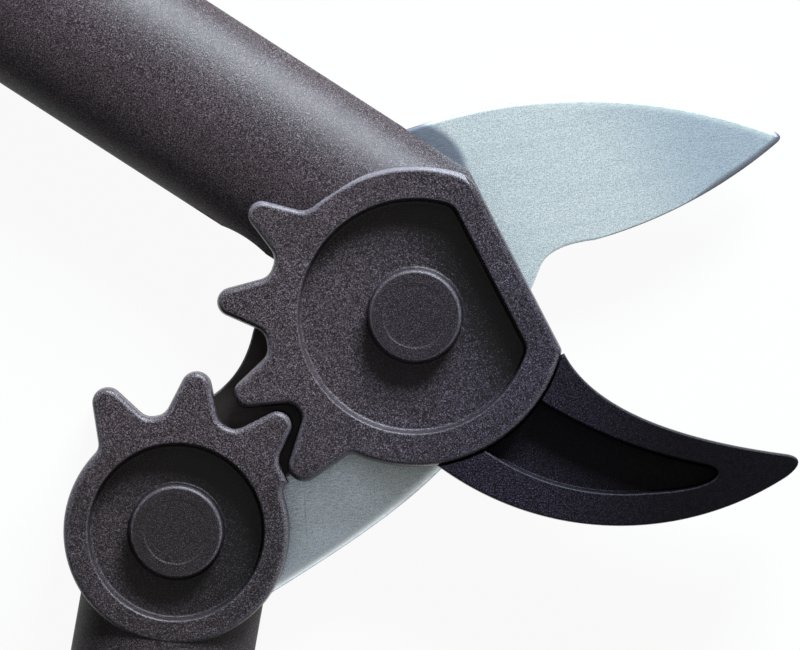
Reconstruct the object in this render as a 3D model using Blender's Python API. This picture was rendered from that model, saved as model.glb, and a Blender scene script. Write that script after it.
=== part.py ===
# Geared lopper lying flat on its back, jaws open, built as it comes apart on a bench.
#
# Frame: origin on the main pivot's axis where the tool rests, +X towards the jaw tips,
# +Z out of the tool's front face. Metres; MM turns the sizes below into metres.
#
# The upper lever carries the fixed gear sector and the hook. The blade turns on the main
# pivot, and the lower lever turns on the blade's tail with its gear sector meshed into
# the upper one, so both levers move as the jaws close.

import math

import bmesh
import bpy
from mathutils import Vector

MM = 0.001

# Gear train
GEAR_MODULE = 7.0 * MM
UPPER_TEETH = 12            # teeth of the full circle that the upper sector is part of
LOWER_TEETH = 10
PIVOT_SPACING = GEAR_MODULE * (UPPER_TEETH + LOWER_TEETH) / 2
TAIL_ANGLE = math.radians(222.1)    # from the main pivot to the tail pivot, jaws open
CLOSING_ANGLE = math.radians(47)    # the blade's turn from fully open to closed

UPPER_TOOTH_ANGLES = [146.5, 175.6, 204.9, 233.3]
UPPER_TIP_RADIUS = 47.5 * MM
LAST_TOOTH_EXTRA = 0.9 * MM     # the tooth that takes the load at full opening is this much wider each side
UPPER_ROOT_RADIUS = 36.1 * MM
UPPER_TIP_ROUND = 3.5 * MM

LOWER_TOOTH_ANGLES = [118.1, 82.2, 46.4]
LOWER_TIP_RADIUS = 38.7 * MM
LOWER_ROOT_RADIUS = 28.2 * MM
LOWER_TIP_ROUND = 3.7 * MM
LOWER_RING_RADIUS = 27.1 * MM
STOP_SHOULDER_RADIUS = 29.4 * MM    # low shoulder that faces the last upper tooth, jaws open
STOP_SHOULDER_END = 23.5

FLANK_TAPER = 0.35          # half width gained per unit of depth below the tip
ROOT_FILLET = 2.3 * MM
LAST_FILLET = 1.6 * MM      # beyond the last tooth of each sector

# Head: two gear plates with a slot between them
HEAD_THICKNESS = 32.0 * MM
RUNNING_GAP = 0.3 * MM
REAR_PLATE = 11.4 * MM
WEAR_DISC = 0.8 * MM
BLADE_THICKNESS = 4.4 * MM
HOOK_ROOT_THICKNESS = 4.2 * MM
HEAD_FLAT = 27.5 * MM       # from the main pivot to the flat beside the jaws
HEAD_FLAT_ANGLE = math.radians(27.4)
SLOT_CLEARANCE = 0.8 * MM
TAIL_SLOT_RADIUS = 58.5 * MM    # room for the blade's neck as the jaws close
TAIL_SLOT_SIDE = 18.0 * MM      # how far that room reaches past the handle's near edge line
LOWER_SLOT_RADIUS = 27.8 * MM

# Pockets and bosses moulded in both faces of each head
POCKET_DEPTH = 6.5 * MM
POCKET_DRAFT = 1.2 * MM
UPPER_POCKET_RADIUS = 28.0 * MM
UPPER_POCKET_FLAT = 20.4 * MM
UPPER_POCKET_CORNER = 1.8 * MM
LOWER_POCKET_RADIUS = 21.1 * MM
BOSS_RADIUS = 11.0 * MM
BOSS_DRAFT = 0.9 * MM
BOSS_SINK = 0.4 * MM        # the boss faces stop this far short of the head's faces

# Pivot fasteners: hex bolt from the rear, nut held in the front boss
BOLT_RADIUS = 4.0 * MM
BOLT_HEAD_FLATS = 13.0 * MM
BOLT_HEAD_HEIGHT = 5.3 * MM
WASHER_RADIUS = 8.0 * MM
WASHER_HEIGHT = 1.2 * MM
NUT_FLATS = 13.0 * MM
NUT_HEIGHT = 6.5 * MM
SLEEVE_RADIUS = 7.0 * MM
UPPER_WEAR_DISC_RADIUS = 26.0 * MM
LOWER_WEAR_DISC_RADIUS = 20.0 * MM

# Lever tubes, measured from each lever's pivot along its axis
UPPER_HANDLE_ANGLE = math.radians(147.2)
UPPER_HANDLE_OFFSET = 14.8 * MM
UPPER_HANDLE_LENGTH = 590.0 * MM
UPPER_TUBE_OVERLAP = 10.0 * MM      # how far the tube runs into the gear plates past the pivot
LOWER_HANDLE_ANGLE = math.radians(260.0)
LOWER_HANDLE_OFFSET = 1.7 * MM
LOWER_HANDLE_LENGTH = 522.0 * MM
TUBE_WIDTH = 43.4 * MM
TUBE_THICKNESS = 31.4 * MM
TUBE_FLAT = 0.36             # share of the tube's half thickness that its side walls stay upright
TUBE_WALL = 4.0 * MM
NECK_WIDTH = 34.0 * MM      # where the shank meets the grip
NECK_THICKNESS = 27.0 * MM
TAPER_START = 115.0 * MM
HOLLOW_START = 104.0 * MM
RELIEF_RADIUS = 30.0 * MM   # shallow hollow in the upper handle that the lower gear's tip closes into
GRIP_LENGTH = 165.0 * MM
GRIP_WALL = 3.6 * MM
GRIP_SWELL = 39.0 * MM      # width at the flare beside the end cap
GRIP_RIBS = 7
GRIP_RIB_HEIGHT = 0.9 * MM
HANDLE_BOW = 13.0 * MM
CAP_FLANGE = 4.5 * MM
CAP_PLUG = 14.0 * MM

# Hook: cast jaw whose thin root lies in the upper lever's slot
HOOK_FRONT = 31.0 * MM      # height of the jaw's front face
HOOK_HEEL = (35.6 * MM, -8.4 * MM)
HOOK_TIP = (88.6 * MM, -33.0 * MM)
HOOK_TIP_ROUND = 2.3 * MM
HOOK_BACK_RADIUS = 73.0 * MM
HOOK_BACK_CENTRE = (49.1 * MM, 23.2 * MM)
HOOK_POCKET_RADIUS = 58.6 * MM      # of the pocket's edge along the jaw's back
HOOK_POCKET_CENTRE = (50.0 * MM, 16.1 * MM)
HOOK_POCKET_DEPTH = 8.6 * MM
HOOK_POCKET_START = (28.5 * MM, -18.2 * MM)
HOOK_POCKET_BEND = (46.0 * MM, -31.8 * MM)
HOOK_POCKET_END = (69.8 * MM, -36.6 * MM)
HOOK_ROOT_RADIUS = 33.0 * MM
HOOK_SEAT_LOW = math.radians(-82.5)     # lower end of the jaw's seat against the gear plate
HOOK_BRIDGE = (math.radians(-73), math.radians(-21))    # where the root runs on into the jaw
HOOK_BRIDGE_LAP = 4.0 * MM      # how far the root runs into the jaw past the plate's rim
TANG_WIDTH = 18.0 * MM
TANG_END = 92.0 * MM
TANG_SCREW_PLACES = (64.0 * MM, 84.0 * MM)
SCREW_RADIUS = 2.1 * MM
SCREW_HEAD_RADIUS = 4.0 * MM
SCREW_HEAD_HEIGHT = 2.6 * MM
SCREW_SINK = 4.4 * MM       # depth of the screw heads' faces below the tube's rear crest
SCREW_GRIP = 3.5 * MM       # how far the screws reach into the front wall
SCREW_SOCKET = 4.4 * MM
SCREW_SOCKET_DEPTH = 1.5 * MM

# Blade: one plate from the cutting tip to the tail pivot
BLADE_TIP = (88.0 * MM, 43.2 * MM)
BLADE_TIP_ROUND = 2.4 * MM
SPINE_POINTS = ((2.4 * MM, 46.2 * MM), (43.2 * MM, 52.2 * MM), (85.3 * MM, 44.4 * MM))
SPINE_END = 0.6 * MM        # X where the spine's arc gives way to the shoulder
SHOULDER_REACH = 26.0 * MM  # how far the shoulder runs along the upper handle
SHOULDER_FOOT = math.radians(113)   # where the shoulder meets the hub
EDGE_HEEL = (43.0 * MM, 18.2 * MM)
EDGE_RADIUS = 116.0 * MM
THROAT_CORNER = (32.6 * MM, 17.0 * MM)
THROAT_TOP = (30.2 * MM, 12.2 * MM)
THROAT_BASE = (26.0 * MM, 3.0 * MM)
HUB_RADIUS = 33.5 * MM
HUB_LEAVE = math.radians(158)
NECK_TOP = (-38.9 * MM, -4.0 * MM)
NECK_BEND = (-47.9 * MM, -18.5 * MM)
TAIL_ENTRY = math.radians(108)
TAIL_LEAVE = math.radians(302)
TAIL_RADIUS = 24.5 * MM
BEVEL_WIDTH = 7.5 * MM
EDGE_LAND = 0.35 * MM       # thickness left at the cutting edge

# Fineness of round shapes
CIRCLE = 40
TUBE_SIDES = 24
SHARP_ANGLE = math.radians(30)      # edges that turn more than this are shown sharp

# Heights that follow from the stack between the plates
WEAR_Z = REAR_PLATE + RUNNING_GAP
BLADE_Z = WEAR_Z + WEAR_DISC + RUNNING_GAP
HOOK_Z = BLADE_Z + BLADE_THICKNESS + RUNNING_GAP
UPPER_PLATE_Z = HOOK_Z + HOOK_ROOT_THICKNESS + RUNNING_GAP
LOWER_PLATE_Z = HOOK_Z + WEAR_DISC + RUNNING_GAP
MID_Z = HEAD_THICKNESS / 2
TAIL_PIVOT = Vector((math.cos(TAIL_ANGLE), math.sin(TAIL_ANGLE))) * PIVOT_SPACING


# Plane geometry

def polar(radius, angle, centre=(0, 0)):
    return (centre[0] + radius * math.cos(angle), centre[1] + radius * math.sin(angle))


def arc(radius, start, end, steps, centre=(0, 0)):
    """Points along an arc from start to end, both included."""
    return [polar(radius, start + (end - start) * i / steps, centre) for i in range(steps + 1)]


def arc_about(radius, start, end, fineness=CIRCLE, centre=(0, 0)):
    """An arc with as many steps as a full circle of that fineness gives it."""
    steps = max(1, math.ceil(abs(end - start) / math.tau * fineness))
    return arc(radius, start, end, steps, centre)


def circle(radius, centre=(0, 0), steps=CIRCLE):
    return [polar(radius, math.tau * i / steps, centre) for i in range(steps)]


def hexagon(flats, centre=(0, 0)):
    return [polar(flats / math.sqrt(3), math.tau * i / 6, centre) for i in range(6)]


def bend(start, corner, end, steps):
    """Quadratic curve that rounds a corner, both ends included."""
    points = []
    for i in range(steps + 1):
        t = i / steps
        a, b, c = (1 - t) ** 2, 2 * t * (1 - t), t * t
        points.append(tuple(a * start[k] + b * corner[k] + c * end[k] for k in (0, 1)))
    return points


def sweep_curve(start, leave, arrive, end, steps):
    """Cubic curve with its two handles."""
    points = []
    for i in range(steps + 1):
        t = i / steps
        weights = ((1 - t) ** 3, 3 * t * (1 - t) ** 2, 3 * t * t * (1 - t), t ** 3)
        knots = (start, leave, arrive, end)
        points.append(tuple(sum(w * p[k] for w, p in zip(weights, knots)) for k in (0, 1)))
    return points


def along(point, direction, distance):
    return (point[0] + direction[0] * distance, point[1] + direction[1] * distance)


def unit(start, end):
    length = math.dist(start, end)
    return ((end[0] - start[0]) / length, (end[1] - start[1]) / length)


def turned(point, angle):
    c, s = math.cos(angle), math.sin(angle)
    return (point[0] * c - point[1] * s, point[0] * s + point[1] * c)


def tidy(points, closest=0.05 * MM):
    """The outline without points that fall on the one before."""
    kept = []
    for p in points:
        if not kept or math.dist(p, kept[-1]) > closest:
            kept.append(p)
    if math.dist(kept[0], kept[-1]) <= closest:
        kept.pop()
    return kept


def three_point_circle(a, b, c):
    """Centre and radius of the circle through three points."""
    d = 2 * (a[0] * (b[1] - c[1]) + b[0] * (c[1] - a[1]) + c[0] * (a[1] - b[1]))
    squares = [p[0] ** 2 + p[1] ** 2 for p in (a, b, c)]
    x = (squares[0] * (b[1] - c[1]) + squares[1] * (c[1] - a[1]) + squares[2] * (a[1] - b[1])) / d
    y = (squares[0] * (c[0] - b[0]) + squares[1] * (a[0] - c[0]) + squares[2] * (b[0] - a[0])) / d
    return (x, y), math.dist((x, y), a)


def arc_between(start, end, radius, steps):
    """Arc of a stated radius between two points, bulging to the right of the chord."""
    middle = ((start[0] + end[0]) / 2, (start[1] + end[1]) / 2)
    half = math.dist(start, end) / 2
    run = unit(start, end)
    reach = math.sqrt(max(radius ** 2 - half ** 2, 0))
    centre = (middle[0] - run[1] * reach, middle[1] + run[0] * reach)
    a = math.atan2(start[1] - centre[1], start[0] - centre[0])
    b = math.atan2(end[1] - centre[1], end[0] - centre[0])
    return arc(radius, a, a + (b - a) % math.tau, steps, centre)


# Gear outlines

def flank_start(tip_round):
    """Half width that the flank line would have at the tip circle."""
    return tip_round * (math.sqrt(1 + FLANK_TAPER ** 2) - FLANK_TAPER)


def root_point(tip_radius, root_radius, tip_round):
    """Where a straight flank meets the root circle: (depth along the tooth, half width)."""
    reach = flank_start(tip_round) + FLANK_TAPER * tip_radius
    a = 1 + FLANK_TAPER ** 2
    b = reach * FLANK_TAPER
    u = (b + math.sqrt(b * b - a * (reach ** 2 - root_radius ** 2))) / a
    return u, reach - FLANK_TAPER * u


def half_tooth(tip_radius, root_radius, tip_round, fillet):
    """One side of a tooth that points along +X, from the root circle to the tip."""
    u, v = root_point(tip_radius, root_radius, tip_round)
    corner_angle = math.atan2(v, u)
    on_root = polar(root_radius, corner_angle + fillet / root_radius)
    slant = math.atan(FLANK_TAPER)
    up_flank = (u + math.cos(slant) * fillet, v - math.sin(slant) * fillet)
    centre = (tip_radius - tip_round, 0)
    tip = arc(tip_round, math.pi / 2 - slant, 0, 5, centre)
    return bend(on_root, (u, v), up_flank, 4) + tip


def foot_angle(tip_radius, root_radius, tip_round):
    """Half of the angle that a tooth takes up on its root circle."""
    u, v = root_point(tip_radius, root_radius, tip_round)
    return math.atan2(v, u)


def gear_teeth(teeth, root_radius, first_root, last_root):
    """Outline through teeth given as (angle, tip radius, tip round), anticlockwise."""
    fillets = [ROOT_FILLET]
    for one, two in zip(teeth, teeth[1:]):
        feet = foot_angle(one[1], root_radius, one[2]) + foot_angle(two[1], root_radius, two[2])
        free = (two[0] - one[0] - feet) * root_radius
        fillets.append(min(ROOT_FILLET, 0.48 * free))
    fillets.append(LAST_FILLET)
    roots = [first_root] + [root_radius] * (len(teeth) - 1) + [last_root]
    points = []
    for i, (angle, tip_radius, tip_round) in enumerate(teeth):
        before = [(x, -y) for x, y in half_tooth(tip_radius, roots[i], tip_round, fillets[i])]
        after = half_tooth(tip_radius, roots[i + 1], tip_round, fillets[i + 1])
        made = [turned(p, angle) for p in before + after[::-1]]
        if points:
            points += root_arc(points[-1], made[0], root_radius)
        points += made
    return points


def angle_of(point):
    return math.atan2(point[1], point[0]) % math.tau


def root_arc(start, end, radius):
    """Points on a root circle strictly between two outline points, anticlockwise."""
    a = angle_of(start)
    turn = (angle_of(end) - a) % math.tau
    return [] if turn > math.pi else arc_about(radius, a, a + turn)[1:-1]


def upper_gear_outline():
    """Disc with four teeth, cut by the flat beside the jaws."""
    teeth = [(math.radians(a), UPPER_TIP_RADIUS, UPPER_TIP_ROUND) for a in UPPER_TOOTH_ANGLES]
    teeth[-1] = (teeth[-1][0], UPPER_TIP_RADIUS + LAST_TOOTH_EXTRA, UPPER_TIP_ROUND + LAST_TOOTH_EXTRA / 2)
    points = gear_teeth(teeth, UPPER_ROOT_RADIUS, UPPER_ROOT_RADIUS, UPPER_ROOT_RADIUS)
    half = math.acos(HEAD_FLAT / UPPER_ROOT_RADIUS)
    low, high = HEAD_FLAT_ANGLE - half, HEAD_FLAT_ANGLE + half
    low_run, high_run = 1.5 * MM, 3.4 * MM
    low_corner, high_corner = polar(UPPER_ROOT_RADIUS, low), polar(UPPER_ROOT_RADIUS, high)
    before_low = polar(UPPER_ROOT_RADIUS, low - low_run / UPPER_ROOT_RADIUS)
    after_high = polar(UPPER_ROOT_RADIUS, high + high_run / UPPER_ROOT_RADIUS)
    side = unit(low_corner, high_corner)
    points += root_arc(points[-1], before_low, UPPER_ROOT_RADIUS)
    points += bend(before_low, low_corner, along(low_corner, side, low_run), 3)
    points += bend(along(high_corner, side, -high_run), high_corner, after_high, 5)
    points += root_arc(after_high, points[0], UPPER_ROOT_RADIUS)
    return tidy(points)


def lower_gear_outline():
    """Ring with three teeth and the stop shoulder beside the last of them."""
    shoulder = math.radians(STOP_SHOULDER_END)
    points = arc_about(LOWER_RING_RADIUS, math.radians(-80), shoulder - math.radians(7))
    points += bend(points[-1], polar(LOWER_RING_RADIUS, shoulder), polar(STOP_SHOULDER_RADIUS, shoulder), 4)
    teeth = [(math.radians(a), LOWER_TIP_RADIUS, LOWER_TIP_ROUND) for a in sorted(LOWER_TOOTH_ANGLES)]
    made = gear_teeth(teeth, LOWER_ROOT_RADIUS, STOP_SHOULDER_RADIUS, LOWER_RING_RADIUS)
    points += root_arc(points[-1], made[0], STOP_SHOULDER_RADIUS) + made
    points += root_arc(points[-1], points[0], LOWER_RING_RADIUS)
    return tidy(points)


def d_outline(radius, flat, flat_angle, run):
    """Disc cut by a chord, its two corners rounded."""
    half = math.acos(flat / radius)
    ends = [flat_angle - half, flat_angle + half]
    corners = [polar(radius, a) for a in ends]
    side = unit(*corners)
    points = arc_about(radius, ends[1] + run / radius, ends[0] + math.tau - run / radius)
    points += bend(points[-1], corners[0], along(corners[0], side, run), 4)
    points += bend(along(corners[1], side, -run), corners[1], points[0], 4)
    return tidy(points)


# Solids

def finish(bm, name, material, parent=None):
    """Turns a bmesh into a named object."""
    bmesh.ops.recalc_face_normals(bm, faces=bm.faces)
    mesh = bpy.data.meshes.new(name)
    bm.to_mesh(mesh)
    bm.free()
    if material:
        mesh.materials.append(material)
    made = bpy.data.objects.new(name, mesh)
    bpy.context.scene.collection.objects.link(made)
    made.parent = parent
    return made


def lofted(name, rings, material=None, parent=None):
    """Closed solid through rings of equally many 3-D points, capped at both ends."""
    bm = bmesh.new()
    loops = [[bm.verts.new(p) for p in ring] for ring in rings]
    for one, two in zip(loops, loops[1:]):
        for i in range(len(one)):
            j = (i + 1) % len(one)
            bm.faces.new((one[i], one[j], two[j], two[i]))
    bm.faces.new(loops[0])
    bm.faces.new(loops[-1])
    return finish(bm, name, material, parent)


def at_height(outline, z):
    return [(x, y, z) for x, y in outline]


def prism(name, outline, low, high, material=None, parent=None):
    return lofted(name, [at_height(outline, low), at_height(outline, high)], material, parent)


def tube_ring(name, outer, inner, low, high, material=None, parent=None):
    """Ring between two outlines of equally many points."""
    bm = bmesh.new()
    loops = [[bm.verts.new((x, y, z)) for x, y in outline]
             for outline, z in ((outer, low), (outer, high), (inner, high), (inner, low))]
    for k in range(4):
        one, two = loops[k], loops[(k + 1) % 4]
        for i in range(len(one)):
            j = (i + 1) % len(one)
            bm.faces.new((one[i], one[j], two[j], two[i]))
    return finish(bm, name, material, parent)


def disc_ring(name, radius, bore, low, high, material, parent, steps=CIRCLE):
    return tube_ring(name, circle(radius, steps=steps), circle(bore, steps=steps),
                     low, high, material, parent)


def as_tool(tool):
    """Marks a cutter, which isn't part of the lopper."""
    tool.hide_render = True
    tool.display_type = "WIRE"
    return tool


def combine(target, tool, operation):
    tool.parent = target.parent
    modifier = target.modifiers.new(tool.name, "BOOLEAN")
    modifier.operation = operation
    modifier.solver = "EXACT"
    modifier.object = as_tool(tool)


def cut(target, *tools):
    for tool in tools:
        combine(target, tool, "DIFFERENCE")


def unite(target, *tools):
    for tool in tools:
        combine(target, tool, "UNION")


def settle(objects):
    """Applies the cuts and joins, marks the edges they made, and removes the cutters."""
    depsgraph = bpy.context.evaluated_depsgraph_get()
    results = [(piece, bpy.data.meshes.new_from_object(piece.evaluated_get(depsgraph)))
               for piece in objects if piece.type == "MESH" and not piece.hide_render]
    for piece, mesh in results:
        old = piece.data
        piece.modifiers.clear()
        piece.data = mesh
        bpy.data.meshes.remove(old)
        mesh.name = piece.name
        mesh.shade_smooth()
        mesh.set_sharp_from_angle(angle=SHARP_ANGLE)
    for tool in [piece for piece in objects if piece.hide_render]:
        bpy.data.meshes.remove(tool.data)


def material(name, colour, roughness, metallic=0.0):
    made = bpy.data.materials.new(name)
    made.use_nodes = True
    shader = made.node_tree.nodes["Principled BSDF"]
    shader.inputs["Base Color"].default_value = (*colour, 1.0)
    shader.inputs["Roughness"].default_value = roughness
    shader.inputs["Metallic"].default_value = metallic
    return made


def empty(name, location, parent=None):
    made = bpy.data.objects.new(name, None)
    bpy.context.scene.collection.objects.link(made)
    made.location = location
    made.parent = parent
    return made


# Lever tubes

def section(half_width, half_height, sides):
    """Oval with its sides cut upright; anticlockwise, sides a multiple of four."""
    start = math.asin(TUBE_FLAT)
    wide = half_width / math.cos(start)
    count = sides // 4
    quarter = []
    for i in range(count):
        a = start + (math.pi / 2 - start) * i / (count - 0.5)
        quarter.append((wide * math.cos(a), half_height * math.sin(a)))
    upper = quarter + [(-x, y) for x, y in quarter[::-1]]
    return upper + [(-x, -y) for x, y in upper]


def smooth_step(t):
    t = min(max(t, 0.0), 1.0)
    return t * t * (3 - 2 * t)


class TubePath:
    """Centre line of one lever's tube and the sizes along it."""

    def __init__(self, angle, offset, length, outward):
        self.angle = angle
        self.offset = offset
        self.length = length
        self.outward = outward      # +1 or -1: the side of the axis that faces away from the other lever
        self.grip_start = length - GRIP_LENGTH - CAP_FLANGE
        self.grip_end = length - CAP_FLANGE

    def taper(self, s):
        return smooth_step((s - TAPER_START) / (self.grip_start - TAPER_START))

    def centre(self, s):
        """Point of the centre line at distance s from the pivot."""
        side = self.offset + HANDLE_BOW * self.taper(s)
        return turned((s, -self.outward * side), self.angle)

    def ring(self, s, width, thickness, sides=TUBE_SIDES):
        """Section across the centre line at s."""
        step = 0.5 * MM
        ahead, behind = self.centre(s + step), self.centre(s - step)
        run = unit(behind, ahead)
        across = (-run[1], run[0])
        x, y = self.centre(s)
        return [(x + across[0] * a, y + across[1] * a, MID_Z + b)
                for a, b in section(width / 2, thickness / 2, sides)]

    def width(self, s):
        return TUBE_WIDTH + (NECK_WIDTH - TUBE_WIDTH) * self.taper(s)

    def thickness(self, s):
        return TUBE_THICKNESS + (NECK_THICKNESS - TUBE_THICKNESS) * self.taper(s)


def places(start, end, count):
    return [start + (end - start) * i / count for i in range(count + 1)]


CORE_WIDTH = NECK_WIDTH - 2 * GRIP_WALL
CORE_THICKNESS = NECK_THICKNESS - 2 * GRIP_WALL


def tube_solid(name, path, start, mat, parent):
    """Shank from the head to the grip, stepped down to the core that the grip covers."""
    rings = [path.ring(start, TUBE_WIDTH, TUBE_THICKNESS)]
    for s in places(TAPER_START, path.grip_start, 8):
        rings.append(path.ring(s, path.width(s), path.thickness(s)))
    for s in (path.grip_start, path.grip_end):
        rings.append(path.ring(s, CORE_WIDTH, CORE_THICKNESS))
    return lofted(name, rings, mat, parent)


def tube_hollow(name, path):
    """Hollow inside the tube, open at the end cap."""
    sides = 20
    rings = []
    for s in places(HOLLOW_START, path.grip_start - TUBE_WALL, 5):
        rings.append(path.ring(s, path.width(s) - 2 * TUBE_WALL, path.thickness(s) - 2 * TUBE_WALL, sides))
    for s in (path.grip_start - TUBE_WALL, path.grip_end + CAP_FLANGE):
        rings.append(path.ring(s, CORE_WIDTH - 2 * TUBE_WALL, CORE_THICKNESS - 2 * TUBE_WALL, sides))
    rings[5] = path.ring(path.grip_start - 2 * TUBE_WALL, path.width(path.grip_start) - 2 * TUBE_WALL,
                         path.thickness(path.grip_start) - 2 * TUBE_WALL, sides)
    return lofted(name, rings)


def grip_size(share):
    """Width and thickness of the grip at a share of its length from the head side."""
    waist = NECK_WIDTH + 1.0 * MM
    flare = smooth_step((share - 0.72) / 0.28)
    collar = 1 - smooth_step(share / 0.12)
    width = waist + (GRIP_SWELL - waist) * flare + 2.0 * MM * collar
    thickness = HEAD_THICKNESS - 2.0 * MM + 2.0 * MM * max(flare, collar)
    return width, thickness


def grip(name, path, mat, parent):
    """Soft sleeve with shallow ribs round its middle and a flare at the end."""
    rings = []
    outer_places = [0.0, 0.04, 0.12]
    first, last = 0.2, 0.7
    pitch = (last - first) / GRIP_RIBS
    for i in range(GRIP_RIBS):
        base = first + pitch * i
        outer_places += [base, base + pitch * 0.25, base + pitch * 0.75]
    outer_places += [last, 0.8, 0.9, 0.97, 1.0]
    start, run = path.grip_start + RUNNING_GAP, GRIP_LENGTH - 2 * RUNNING_GAP
    for k, share in enumerate(outer_places):
        width, thickness = grip_size(share)
        phase = (share - first) / pitch
        on_rib = first <= share < last and phase % 1 > 0.1
        height = 0.0 if on_rib or not first <= share <= last else -2 * GRIP_RIB_HEIGHT
        if k in (0, len(outer_places) - 1):
            height = -1.6 * MM
        rings.append(path.ring(start + run * share, width + height, thickness + height))
    inner = [path.ring(start + run * share, CORE_WIDTH + 2 * RUNNING_GAP, CORE_THICKNESS + 2 * RUNNING_GAP)
             for share in (1.0, 0.0)]
    loops = rings + inner
    bm = bmesh.new()
    verts = [[bm.verts.new(p) for p in ring] for ring in loops]
    for one, two in zip(verts, verts[1:] + verts[:1]):
        for i in range(len(one)):
            j = (i + 1) % len(one)
            bm.faces.new((one[i], one[j], two[j], two[i]))
    return finish(bm, name, mat, parent)


def end_cap(name, path, mat, parent):
    """Flanged plug in the open end of the tube, with a flat outer face."""
    width, thickness = grip_size(1.0)
    plug_width = CORE_WIDTH - 2 * TUBE_WALL - 2 * RUNNING_GAP
    plug_thickness = CORE_THICKNESS - 2 * TUBE_WALL - 2 * RUNNING_GAP
    face = path.grip_end + RUNNING_GAP
    end = path.length
    rings = [path.ring(face - CAP_PLUG, plug_width - 1.0 * MM, plug_thickness - 1.0 * MM),
             path.ring(face - CAP_PLUG + 1.0 * MM, plug_width, plug_thickness),
             path.ring(face, plug_width, plug_thickness),
             path.ring(face, width - 1.6 * MM, thickness - 1.6 * MM),
             path.ring(end - 1.4 * MM, width - 1.6 * MM, thickness - 1.6 * MM),
             path.ring(end, width - 4.0 * MM, thickness - 4.0 * MM)]
    return lofted(name, rings, mat, parent)


# Pockets, bores and slots

def pocket_tool(name, outline, draft_outline, boss_outline, boss_foot, floor, face, spill):
    """Ring shaped cutter that leaves the boss standing; its walls lean out towards the face."""
    bm = bmesh.new()
    share = (spill - floor) / (face - floor)

    def mixed(foot, brim):
        return [tuple(f[k] + (b[k] - f[k]) * share for k in (0, 1)) for f, b in zip(foot, brim)]

    outer = [at_height(draft_outline, floor), at_height(mixed(draft_outline, outline), spill)]
    inner = [at_height(boss_foot, floor), at_height(mixed(boss_foot, boss_outline), spill)]
    rim = [[bm.verts.new(p) for p in ring] for ring in outer]
    post = [[bm.verts.new(p) for p in ring] for ring in inner]
    for pair in (rim, post):
        count = len(pair[0])
        for i in range(count):
            j = (i + 1) % count
            bm.faces.new((pair[0][i], pair[0][j], pair[1][j], pair[1][i]))
    for level in (0, 1):
        edges = []
        for loop in (rim[level], post[level]):
            edges += [bm.edges.get((loop[i], loop[(i + 1) % len(loop)])) for i in range(len(loop))]
        bmesh.ops.triangle_fill(bm, edges=edges, use_beauty=True)
    return finish(bm, name, None)


def pocket_pair(lever, outline, draft_outline):
    """Pockets in the front and rear faces, each round its own boss."""
    spill = 5.0 * MM
    boss = circle(BOSS_RADIUS, steps=CIRCLE)
    foot = circle(BOSS_RADIUS + BOSS_DRAFT, steps=CIRCLE)
    front = pocket_tool(lever.name + "_front_pocket", outline, draft_outline, boss, foot,
                        HEAD_THICKNESS - POCKET_DEPTH, HEAD_THICKNESS, HEAD_THICKNESS + spill)
    rear = pocket_tool(lever.name + "_rear_pocket", outline, draft_outline, boss, foot,
                       POCKET_DEPTH, 0.0, -spill)
    lid = circle(BOSS_RADIUS + BOSS_DRAFT / 2)
    front_face = prism(lever.name + "_front_boss_face", lid,
                       HEAD_THICKNESS - BOSS_SINK, HEAD_THICKNESS + spill)
    rear_face = prism(lever.name + "_rear_boss_face", lid, -spill, BOSS_SINK)
    cut(lever, front, rear, front_face, rear_face)


def pivot_bores(lever, plate_z):
    """Bolt hole, counterbore for the head and washer, hexagonal seat for the nut."""
    spill = 5.0 * MM
    nut_top = plate_z + RUNNING_GAP + NUT_HEIGHT + RUNNING_GAP
    head_floor = BOLT_HEAD_HEIGHT + RUNNING_GAP + WASHER_HEIGHT + RUNNING_GAP
    hole = prism(lever.name + "_bolt_hole", circle(BOLT_RADIUS + RUNNING_GAP, steps=24),
                 head_floor - 1.0 * MM, REAR_PLATE + 1.0 * MM)
    counterbore = prism(lever.name + "_counterbore", circle(WASHER_RADIUS + RUNNING_GAP), -spill, head_floor)
    seat = prism(lever.name + "_nut_seat", hexagon(NUT_FLATS + 2 * RUNNING_GAP), plate_z - 1.0 * MM, nut_top)
    cut(lever, counterbore, hole, seat)


def pivot_fasteners(prefix, plate_z, parent, steel, sleeve_mat):
    """Bolt with its washer, nut and spacer sleeve, all on one axis."""
    head = prism(prefix + "_bolt", hexagon(BOLT_HEAD_FLATS), 0.0, BOLT_HEAD_HEIGHT, steel, parent)
    nut_low = plate_z + RUNNING_GAP
    shank = prism(prefix + "_shank", circle(BOLT_RADIUS, steps=24), BOLT_HEAD_HEIGHT / 2,
                  nut_low + NUT_HEIGHT)
    unite(head, shank)
    washer_low = BOLT_HEAD_HEIGHT + RUNNING_GAP
    disc_ring(prefix + "_washer", WASHER_RADIUS, BOLT_RADIUS + RUNNING_GAP,
              washer_low, washer_low + WASHER_HEIGHT, steel, parent, 32)
    nut = prism(prefix + "_nut", hexagon(NUT_FLATS), nut_low, nut_low + NUT_HEIGHT, steel, parent)
    cut(nut, prism(prefix + "_nut_thread", circle(BOLT_RADIUS + RUNNING_GAP, steps=24),
                   nut_low - 1.0 * MM, nut_low + NUT_HEIGHT + 1.0 * MM))
    disc_ring(prefix + "_sleeve", SLEEVE_RADIUS, BOLT_RADIUS + RUNNING_GAP,
              REAR_PLATE + RUNNING_GAP, plate_z - RUNNING_GAP, sleeve_mat, parent, 32)


# Upper lever, with the hook

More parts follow.
